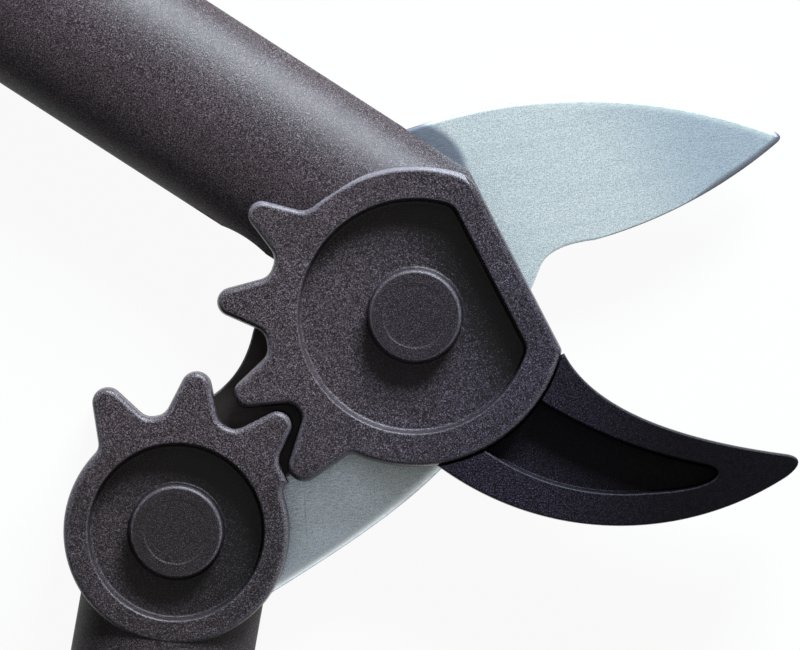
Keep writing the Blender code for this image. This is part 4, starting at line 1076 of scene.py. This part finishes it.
def hookOutline():
    h = hookShape
    downFlat, toTip = (math.sin(flatAngle), -math.cos(flatAngle)), h["toTip"]
    (heelPull, tipPull), centre = h["throatPull"], h["backCentre"]
    throat = curve(50, h["heel"], along(h["heel"], downFlat, heelPull),
                   along(h["tip"], toTip, tipPull), h["tip"])
    backAngle = math.atan2(h["tip"][1] - h["tipRound"] * 2 - centre[1], h["tip"][0] - centre[0])
    backStart = polar(h["backRadius"], backAngle, centre)
    nose = along(h["tip"], toTip, h["tipRound"] * 2)
    tip = curve(18, h["tip"], nose, along(nose, (-0.3, -1.0), h["tipRound"]), backStart)
    meet = polar(head["upperRoot"] + head["gap"], math.radians(h["seatLow"]))
    backEnd = math.atan2(meet[1] - centre[1], meet[0] - centre[0]) - math.radians(h["backOverrun"])
    back = arc(h["backRadius"], backAngle, backEnd, 74, centre)
    # these last points lie behind the plate's rim, where the seat's cut takes them away
    behind = [along(back[-1], (0.2, 1.0), 9), polar(30.0, math.radians(-42)),
              along(h["heel"], (-0.92, -0.4), 7)]
    return anticlockwise(throat + tip[1:] + back[1:] + behind)


def hookPocketOutline():
    h = hookShape
    end, centre = h["pocketEnd"], h["pocketCentre"]
    lowAngle = -math.acos(h["pocketNoseStart"] / h["pocketRadius"])
    upperEdge = curve(40, h["pocketStart"], h["pocketBend"], end)
    turn = curve(32, end, *h["pocketNose"], polar(h["pocketRadius"], lowAngle, centre))
    lowerEdge = arc(h["pocketRadius"], lowAngle, math.radians(h["pocketArcEnd"]) - math.tau, 54, centre)
    return anticlockwise(upperEdge + turn[1:] + lowerEdge[1:])


def pocketedJaw():
    h, low, front = hookShape, head["hookLow"], head["hookFront"]
    edge, draft, brim, floor = h["edge"], h["draft"], h["brim"], front - h["pocketDepth"]
    rows = [(0.5, low, 0), (0.0, low + 0.5, 0), (draft * 0.9, front - edge * 2, 0)]
    rows += wornAndLit(quarter((draft + edge, front), (draft, front - edge))[::-1], 1.0)
    rows += [(draft + edge + 0.12, front, 0)]
    jaw = Shell()
    jaw.closedStack(hookOutline(), rows)
    piece = jaw.finish("jaw", casting)

    wall = quarter((0.65, floor), (0.4, floor + 0.25), 3)
    wall += quarter((-brim, front), (0, front - brim), 5)[::-1] + [(-brim, front + 4)]
    cutter = Shell()
    cutter.closedStack(hookPocketOutline(), wornAndLit(wall, 0.0))
    rim = circle(head["upperRoot"] + head["gap"], steps=fineness["circle"])
    seat = prism("seatTool", rim, low + h["root"], front + 6)
    return smoothed(carve(piece, [seat, cutter.finish("pocketTool", None)]))


def hookJaw():
    h, low = hookShape, head["hookLow"]
    high = low + h["root"]

    def hole(radius, centre=(0, 0), steps=160):
        return prism("holeTool", circle(radius, centre, steps), low - 3, high + 3)

    jaw = pocketedJaw()
    root = prism("hookRoot", chordedDisc(h["rootRadius"], head["flat"] - 1, 3.0), low, high)
    carve(root, [hole(head["sleeveBore"])])
    ends = [math.radians(a) for a in h["bridge"]]
    outer, inner = (arcAbout(radius, *ends) for radius in h["bridgeRadii"])
    bridge = prism("hookBridge", outer + inner[::-1], low, high)
    tang = prism("hookTang", tangOutline(h["tangStart"]), low, high)
    screws = [hole(h["screwHole"], upperPath.centre(s), 32) for s in tube["screwPlaces"]]
    carve(tang, [hole(head["sleeveBore"])] + screws)
    return settle(joined("hookCasting", [jaw, root, bridge, tang]), "upper_lever", "hook_steel", "hook")


hookJaw()
print("hook made")


# Blade

bladeShape = {
    "low": 12.8,
    "thickness": 4.4,
    "tip": (88.0, 43.2),
    "tipRound": 2.4,
    "spine": ((2.4, 46.2), (43.2, 52.2), (85.3, 44.4)),
    "spineEnd": 0.6,
    "edgeHeel": (43.0, 18.2),
    "edgeRadius": 116.0,
    "edgeRound": 0.3,
    "throatCorner": (32.6, 17.0),
    "throatTop": (30.2, 12.2),
    "throatBase": (26.0, 3.0),
    "throatRound": 0.45,
    "shoulder": 26.0,           # how far the shoulder runs along the upper handle
    "shoulderSides": (37.0, 33.0, 24.5, 20.5),    # where its curves start and end beside the handle
    "hub": 33.5,
    "hubArc": (113.0, 158.0),
    "neckTop": (-38.9, -4.0),
    "neckWay": (0.22, 0.975),
    "neckBend": (-47.9, -18.5),
    "bendWay": (0.80, 0.60),
    "bellyPull": (42.0, 36.0),
    "tailRadius": 24.5,
    "tailArc": (108.0, 302.0),
    "bevel": 7.5,
    "leastBevel": 0.35,
    "land": 0.35,               # thickness left at the cutting edge
    "support": 0.12,
    "spineRound": 1.0,
    "backRound": 0.5,
    "tailRound": 2.3,
    "edgeRollOver": 1.5,
    "drop": (1.9, 0.5),         # how far the front edge's round reaches down, at most, and at the spine
    "spineAbove": 25.0,         # above this y the front edge is the spine's, thin and plain
    "tailBelow": -20.0,         # below this y it is the tail's, with painted shade at its foot
    "darkTip": 84.6,            # past this x the edge's painted shade goes on round the tip
    "darkRun": 2.2,
}


def bladeTail():    # hub, neck, round end and belly, from the shoulder to the throat
    b = bladeShape

    def onward(point, angle, distance):
        return along(point, (-math.sin(angle), math.cos(angle)), distance)

    foot, leaveHub = (math.radians(a) for a in b["hubArc"])
    hub = arcAbout(b["hub"], foot, leaveHub)
    enter, leave = (math.radians(a) for a in b["tailArc"])
    entry, departure = (polar(b["tailRadius"], a, tailPivot) for a in (enter, leave))
    top, elbow = b["neckTop"], b["neckBend"]
    up, back = b["neckWay"], b["bendWay"]
    neck = curve(14, hub[-1], onward(hub[-1], leaveHub, 7), along(top, up, 4), top)
    neck += curve(16, top, along(top, up, -7.5), along(elbow, back, 5), elbow)
    neck += curve(14, elbow, along(elbow, back, -7), onward(entry, enter, -7), entry)
    end = arcAbout(b["tailRadius"], enter, leave, tailPivot)
    base, (tailPull, basePull) = b["throatBase"], b["bellyPull"]
    belly = curve(60, departure, onward(departure, leave, tailPull),
                  along(base, (-0.10, -1.0), basePull), base)
    return hub, neck, end, belly


def bladeOutline():
    # anticlockwise outline; each point has its share of the rear bevel and the width of its front edge
    b = bladeShape
    tipLow = along(b["tip"], (-0.63, -0.78), b["tipRound"])
    edge = arcBetween(b["edgeHeel"], tipLow, b["edgeRadius"], 60)
    centre, radius = circleThrough(*b["spine"])
    tipAngle = math.acos((b["tip"][0] - 0.9 * b["tipRound"] - centre[0]) / radius)
    spine = arc(radius, tipAngle, math.acos((b["spineEnd"] - centre[0]) / radius), 60, centre)
    tip = curve(18, tipLow, along(tipLow, unit(edge[-2], edge[-1]), 1.7),
                along(spine[0], unit(spine[1], spine[0]), 2.4), spine[0])

    hub, neck, end, belly = bladeTail()
    beside = [turned((b["shoulder"], -side), upperPath.angle) for side in b["shoulderSides"]]
    shoulder = curve(14, spine[-1], along(spine[-1], unit(spine[-2], spine[-1]), 4.5), *beside[:2])
    shoulder += curve(8, *beside[2:], hub[0])
    throat = [b["throatBase"]] + curve(16, b["throatTop"], b["throatCorner"], b["edgeHeel"])
    outline, bevel, roll = [], [], []

    def add(points, rollAt, bevelAt=lambda t: 0.0):    # both rules run from 0 to 1 along the stretch
        for i, p in enumerate(points):
            if outline and math.dist(outline[-1], p) < 0.03:
                continue
            t = i / (len(points) - 1)
            outline.append(p)
            bevel.append(bevelAt(t))
            roll.append(rollAt(t))

    plain, back, tail = b["spineRound"], b["backRound"], b["tailRound"]
    keen, over = b["edgeRound"], b["edgeRollOver"]
    add(throat[1:], lambda t: b["throatRound"])
    add(edge, lambda t: keen + (over - keen) * smoothStep((t - 0.45) / 0.25),
        lambda t: smoothStep(t / 0.25) * (1 - 0.45 * t))
    add(tip[1:], lambda t: over + (plain - over) * t, lambda t: 0.55 * (1 - smoothStep(t)))
    add(spine, lambda t: plain)
    add(shoulder, lambda t: plain + (back - plain) * t)
    add(hub + neck, lambda t: back)
    add(end, lambda t: back + (tail - back) * t)
    add(belly[:-1], lambda t: tail - 1.85 * smoothStep((t - 0.55) / 0.45))
    return outline, bevel, roll


def edgeTone(y, shade, k, a):    # painted light of the k-th ring up the front edge, a quarter turn at its top: above zero highlight, below zero shade
    if shade > 0:
        return -shade * math.cos(a) ** 1.5
    if k < 2 and y < bladeShape["tailBelow"]:
        return (-0.8, -0.5)[k]
    return math.sin(2 * a) * 0.9 if y < bladeShape["spineAbove"] else 0.0


def bladePlate():
    b = bladeShape
    outline, bevel, roll = bladeOutline()
    low, high, support, steps = b["low"], b["low"] + b["thickness"], b["support"], 5
    rearBevel = [max(b["bevel"] * share, b["leastBevel"]) for share in bevel]
    sharp = [min(1.0, share / 0.3) for share in bevel]
    deep, shallow = b["drop"]
    drop = [min(r * 0.9, deep if y < b["spineAbove"] else shallow + (deep - shallow) * keen)
            for (x, y), keen, r in zip(outline, sharp, roll)]
    # the painted shade's share along the front edge
    dark = [max(keen, smoothStep((x - b["darkTip"]) / b["darkRun"]))
            for (x, y), keen in zip(outline, sharp)]
    lands = [high - d - b["land"] if share > 0 else low + b["leastBevel"] for share, d in zip(bevel, drop)]
    shell = Shell()
    rings = [shell.level(inset(outline, [r + 0.1 for r in rearBevel]), low),
             shell.level(inset(outline, rearBevel), low), shell.level(outline, lands)]
    for k in range(steps + 1):
        a = math.pi / 2 * k / steps
        tone = [edgeTone(y, shade, k, a) for (x, y), shade in zip(outline, dark)]
        reach = [r * (1 - math.cos(a)) for r in roll]
        height = [high - d * (1 - math.sin(a)) for d in drop]
        rings.append(shell.level(inset(outline, reach), height, tone))
    rings.append(shell.level(inset(outline, [r + support for r in roll]), high))
    shell.bands(rings)
    bores = [[shell.level(circle(head["sleeveBore"], centre, fineness["bore"]), z)
              for centre in ((0, 0), tailPivot)] for z in (low, high)]
    for one, two in zip(*bores):
        shell.band(one, two)
    shell.sheet(rings[0], *bores[0])
    shell.sheet(rings[-1], *bores[1])
    return settle(shell.finish("bladePlate", steel), "cutting_blade", "blade_steel", "blade")


bladePlate()
print("blade made")


# Grips and end caps

gripShape = {
    "ribs": 7,
    "ribHeight": 0.9,
    "ribSink": 0.6,             # how far the ribs' feet reach into the sleeve
    "ribFill": 0.84,            # share of the pitch that a rib takes
    "ribUnder": 3.2,            # how much narrower than the sleeve a rib is underneath
    "firstRib": 0.2,            # the ribs' ground, in shares of the grip's length
    "lastRib": 0.7,
    "groundSlopes": (0.004, 0.012),
    "startRound": [(0.0, -2.4, 0.0), (0.002, -1.3, 0.4), (0.005, -0.5, 0.8), (0.01, 0.0, 0.3)],
    "endRound": [(0.99, -0.2, 0.3), (0.996, -0.8, 0.8), (1.0, -1.8, 0.3)],
    "waist": 35.0,
    "flareStart": 0.72,
    "collar": 2.0,
    "collarEnd": 0.12,
}


def gripSize(share):
    g, swell = gripShape, tube["gripSwell"]
    flare = smoothStep((share - g["flareStart"]) / (1 - g["flareStart"]))
    collar = 1 - smoothStep(share / g["collarEnd"])
    width = g["waist"] + (swell - g["waist"]) * flare + g["collar"] * collar
    return width, head["thickness"] - g["collar"] + g["collar"] * max(flare, collar)


def gripRun(path):    # where a sleeve starts, and its length
    return path.gripStart + head["gap"], tube["gripLength"] - 2 * head["gap"]


def gripSleeve(name, path):
    g, gap = gripShape, head["gap"]
    start, run = gripRun(path)
    first, last, depth = g["firstRib"], g["lastRib"], -2 * g["ribHeight"]
    foot, crest = g["groundSlopes"]
    # each row has its share of the length, what its width gains, and its wear
    shares = g["startRound"] + [(0.02 + 0.16 * i / 8, 0.0, 0.0) for i in range(9)]
    shares += [(first - crest, 0.0, 0.2), (first - foot, depth * 0.7, 0.0)]
    shares += [(first + (last - first) * i / 12, depth, 0.0) for i in range(13)]
    shares += [(last + foot, depth * 0.7, 0.0), (last + crest, 0.0, 0.2)]
    shares += [(0.73 + 0.25 * i / 12, 0.0, 0.0) for i in range(13)] + g["endRound"]
    rows = []
    for share, extra, wearAndEdgeLight in shares:
        width, thickness = gripSize(share)
        rows.append((start + run * share, width + extra, thickness + extra, wearAndEdgeLight))
    inner = (coreWidth + 2 * gap, coreThickness + 2 * gap, 0.0)
    rows += [(start + run * share, *inner) for share in (1.0, 0.0)]
    return skinAlong(path, rows, name, rubber, 50, closed=True)


def ribTree():    # copies one rib along the grip
    tree = bpy.data.node_groups.new("gripRibs", "GeometryNodeTree")
    face, sockets = tree.interface, {}
    for label, kind, value in (("Geometry", "Geometry", None), ("Rib Count", "Int", 7),
                               ("Rib Pitch", "Float", 0.0117), ("Axis", "Vector", (1, 0, 0)),
                               ("Rubber", "Material", None)):
        made = face.new_socket(label, in_out="INPUT", socket_type="NodeSocket" + kind)
        if value is not None:
            made.default_value = value
        sockets[label] = made.identifier
    face.new_socket("Geometry", in_out="OUTPUT", socket_type="NodeSocketGeometry")
    g = Nodes(tree)
    given = g.node("NodeGroupInput")
    step = g.node("ShaderNodeVectorMath", {"operation": "SCALE"}, {
        0: given["Axis"], "Scale": given["Rib Pitch"]})["Vector"]
    line = g.node("GeometryNodeMeshLine", {}, {"Count": given["Rib Count"], "Offset": step})["Mesh"]
    copies = g.node("GeometryNodeInstanceOnPoints", {}, {
        "Points": line, "Instance": given["Geometry"]})["Instances"]
    real = g.node("GeometryNodeRealizeInstances", {}, {"Geometry": copies})["Geometry"]
    paint = g.node("GeometryNodeSetMaterial", {}, {"Geometry": real, "Material": given["Rubber"]})
    g.node("NodeGroupOutput", {}, {"Geometry": paint["Geometry"]})
    return tree, sockets


ribNodes, ribSockets = ribTree()


def gripRibs(name, path):
    g = gripShape
    start, run = gripRun(path)
    pitch = run * (g["lastRib"] - g["firstRib"]) / g["ribs"]
    width, thickness = gripSize(0.4)
    middle, half = start + run * g["firstRib"] + pitch / 2, pitch * g["ribFill"] / 2
    height, steps = 2 * g["ribHeight"] + g["ribSink"], 14
    rows = []
    for i in range(steps + 1):
        a = math.pi * i / steps
        rise = math.sin(a) ** 0.6 if 0 < i < steps else 0.0
        extra = height * (rise - 1)
        rows.append((middle - half * math.cos(a), width + extra, thickness + extra, 0.7 * rise ** 3))
    under = (width - g["ribUnder"], thickness - g["ribUnder"], 0.0)
    rows += [(middle + half * side, *under) for side in (1, -1)]
    piece = skinAlong(path, rows, name, rubber, 60, closed=True)
    modifier = piece.modifiers.new("ribs", "NODES")
    modifier.node_group = ribNodes
    modifier[ribSockets["Rib Count"]] = g["ribs"]
    modifier[ribSockets["Rib Pitch"]] = pitch * mm
    modifier[ribSockets["Axis"]] = (*unit(path.centre(middle), path.centre(middle + 10)), 0.0)
    modifier[ribSockets["Rubber"]] = rubber
    return smoothed(applied(piece), 60)


capShape = {
    "plugBevel": 1.0,
    "narrower": 1.6,            # how much narrower the flange is than the grip's end
    "underEdge": [(0.0, 2.4, 0.0), (0.3, 1.7, 0.3)],
    "rim": 1.6,                 # radius of the flange's outer edge
    "dish": [(0.0, 8.0), (0.35, 8.9), (0.35, 14.0)],    # depth and how much narrower
}


def endCap(name, path):
    c, gap, plug = capShape, head["gap"], tube["capPlug"]
    rim, bevel = c["rim"], c["plugBevel"]
    width, thickness = gripSize(1.0)
    thinner = 2 * tube["wall"] + 2 * gap
    face, end = path.gripEnd + gap, path.length

    def flange(place, less, wearAndEdgeLight=0.0):
        return (place, width - less, thickness - less, wearAndEdgeLight)

    rows = [(place, coreWidth - thinner - less, coreThickness - thinner - less, 0.0)
            for place, less in ((face - plug, bevel), (face - plug + bevel, 0), (face, 0))]
    rows += [flange(face + rise, less, wearAndEdgeLight) for rise, less, wearAndEdgeLight in c["underEdge"]]
    for i in range(7):
        a = math.pi / 2 * i / 6
        less = c["narrower"] + 2 * rim * (1 - math.cos(a))
        rows.append(flange(end - rim + rim * math.sin(a), less, math.sin(2 * a)))
    rows += [flange(end - depth, less) for depth, less in c["dish"]]
    return skinAlong(path, rows, name, capFinish, 40)


for side, path in (("upper", upperPath), ("lower", lowerPath)):
    body = side + "_lever"
    settle(gripSleeve(side + "GripSleeve", path), body, "grip_rubber", side + "_grip")
    settle(gripRibs(side + "GripRibs", path), body, "grip_rubber")
    settle(endCap(side + "EndCap", path), body, "cap_plastic", side + "_end_cap")
print("grips and caps made")


# Fasteners

boltShape = {
    "flats": 13.0,
    "headHeight": 5.3,
    "turnedIn": 0.25,           # the turned face's distance from the flats
    "turnedEdge": 0.12,
    "turnedSlope": 0.55,
    "radius": 4.0,
    "tipChamfer": 0.6,
    "mainEnd": 28.8,            # how high each bolt's end stands
    "tailEnd": 25.4,
}


def boltPiece(name, centre, end):
    # a hexagonal head whose corners are turned off at its outer, lower face, and a plain shank
    b, steps = boltShape, 96
    inner, edge, outer = b["flats"] / 2 - b["turnedIn"], b["turnedEdge"], []
    for i in range(steps):
        a = math.tau * i / steps
        outer.append(polar(b["flats"] / 2 / math.cos(a % (math.pi / 3) - math.pi / 6), a, centre))
    turnedOff = [edge + (math.dist(p, centre) - inner) * b["turnedSlope"] for p in outer]
    shell = Shell()
    shell.block([shell.level(circle(inner - edge, centre, steps), 0.0),
                 shell.level(circle(inner, centre, steps), 0.0, 0.4),
                 shell.level(outer, turnedOff, 0.5), shell.level(outer, b["headHeight"])])
    radius, chamfer = b["radius"], b["tipChamfer"]
    rows = [(radius, b["headHeight"] - 1.0), (radius, end - chamfer), (radius - chamfer, end)]
    shell.block([shell.level(circle(r, centre, fineness["bore"]), z) for r, z in rows])
    return shell.finish(name, zinc, 30)


for place, centre, body in (("main", (0, 0), "upper_lever"), ("tail", tailPivot, "lower_lever")):
    bolt = boltPiece(place + "PivotBolt", centre, boltShape[place + "End"])
    settle(bolt, body, "bolt_steel", place + "_pivot_bolt")

# the parts that stay as they are, by the last word of their names
keptFinishes = {"nut": zinc, "washer": zinc, "sleeve": bronze, "disc": acetal, "near": zinc, "far": zinc}
for name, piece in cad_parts.items():
    word = name.split("_")[-1]
    if word in keptFinishes:
        piece.data.materials.clear()
        piece.data.materials.append(keptFinishes[word])
print("fasteners made")


# Stage, lights and camera

studio = {
    "keyTurn": 70.0,            # direction of the key light in the picture, from its right
    "keyHeight": 32.5,
    "keyDistance": 1.6,
    "keySize": 0.66,
    "keyPower": 51.5,
    "keyColour": (0.82, 0.92, 1.0),
    "fill": 0.012,
    "horizon": 0.62,            # what gloss sees low down, beyond the blade
    "horizonNear": 0.02,        # and low down at the handles' side
    "horizonWay": (0.94, 0.34, 0.0),
    "horizonSpan": (-0.65, 0.25),
    "overhead": 0.33,           # and straight above, where the studio is dark
    "overheadSpan": (0.25, 0.85),
    "floorReach": 3.0,
    "floorDrop": 0.0002,
    "floorGlow": 0.94,
}
picture = {
    "distance": 6.0,            # in metres, above the head's front face
    "width": 0.1912,            # in metres, across that face
    "sensor": 36.0,
    "centre": (-3.6, -2.15),
}


def stageFloor():
    m = Finish("whiteFloor", 0.9)
    shades = m.ranged(m.noise(6.0, 2.0, 0.5), 0.3, 0.7)
    m.set(colour=m.mix(shades, (0.90, 0.90, 0.90), (0.93, 0.93, 0.93)))
    ray = m.node("ShaderNodeLightPath")
    seen = ray["Is Camera Ray"].atLeast(ray["Is Glossy Ray"]).atLeast(ray["Is Transmission Ray"])
    glow = m.node("ShaderNodeEmission", {}, {"Color": (1, 1, 1), "Strength": 1.0})["Emission"]
    diffuse = Signal(m, m.shader.outputs["BSDF"])
    mixed = m.node("ShaderNodeMixShader", {}, {
        0: seen * studio["floorGlow"], 1: diffuse, 2: glow})["Shader"]
    output = next(n for n in m.tree.nodes if n.type == "OUTPUT_MATERIAL")
    m.tree.links.new(mixed.socket, output.inputs["Surface"])
    mesh, reach, z = bpy.data.meshes.new("floor"), studio["floorReach"], -studio["floorDrop"]
    corners = [(-reach, -reach, z), (reach, -reach, z), (reach, reach, z), (-reach, reach, z)]
    mesh.from_pydata(corners, [], [(0, 1, 2, 3)])
    placed("floor", mesh, m.material)


def studioWorld():
    world = bpy.data.worlds.new("studio")
    world.use_nodes = True
    bpy.context.scene.world = world
    m = Nodes(world.node_tree)
    background = next(n for n in m.tree.nodes if n.type == "BACKGROUND")
    background.inputs["Color"].default_value = (1, 1, 1, 1)
    ray = m.node("ShaderNodeLightPath")
    way = m.node("ShaderNodeTexCoord")["Generated"]
    rise = m.node("ShaderNodeSeparateXYZ", {}, {"Vector": way})["Z"]
    facing = m.node("ShaderNodeVectorMath", {"operation": "DOT_PRODUCT"}, {0: way, 1: studio["horizonWay"]})
    across = m.ranged(facing["Value"], *studio["horizonSpan"])
    low = m.blended(across, studio["horizonNear"], studio["horizon"])
    gloss = m.blended(m.ranged(rise, *studio["overheadSpan"]), low, studio["overhead"])
    mirrored = ray["Is Glossy Ray"].atLeast(ray["Is Transmission Ray"])
    strength = m.blended(ray["Is Camera Ray"], m.blended(mirrored, studio["fill"], gloss), 1.0)
    m.tree.links.new(strength.socket, background.inputs["Strength"])


def keyLight():
    turn, height = math.radians(studio["keyTurn"]), math.radians(studio["keyHeight"])
    direction = Vector((*polar(math.cos(height), turn), math.sin(height)))
    data = bpy.data.lights.new("keyLight", "AREA")
    data.shape = "SQUARE"
    data.size = studio["keySize"]
    data.energy = studio["keyPower"]
    data.color = studio["keyColour"]
    key = linked("keyLight", data)
    key.location = direction * studio["keyDistance"]
    key.rotation_euler = direction.to_track_quat("Z", "Y").to_euler()


def pictureCamera():    # looks straight down
    data = bpy.data.cameras.new("pictureCamera")
    data.sensor_width = picture["sensor"]
    data.lens = picture["sensor"] * picture["distance"] / picture["width"]
    data.clip_start, data.clip_end = 0.1, 100.0
    camera = linked("pictureCamera", data)
    x, y = picture["centre"]
    camera.location = (x * mm, y * mm, picture["distance"] + head["thickness"] * mm)
    bpy.context.scene.camera = camera


stageFloor()
studioWorld()
keyLight()
pictureCamera()
bpy.context.scene.view_settings.view_transform = "Standard"
print("stage ready")
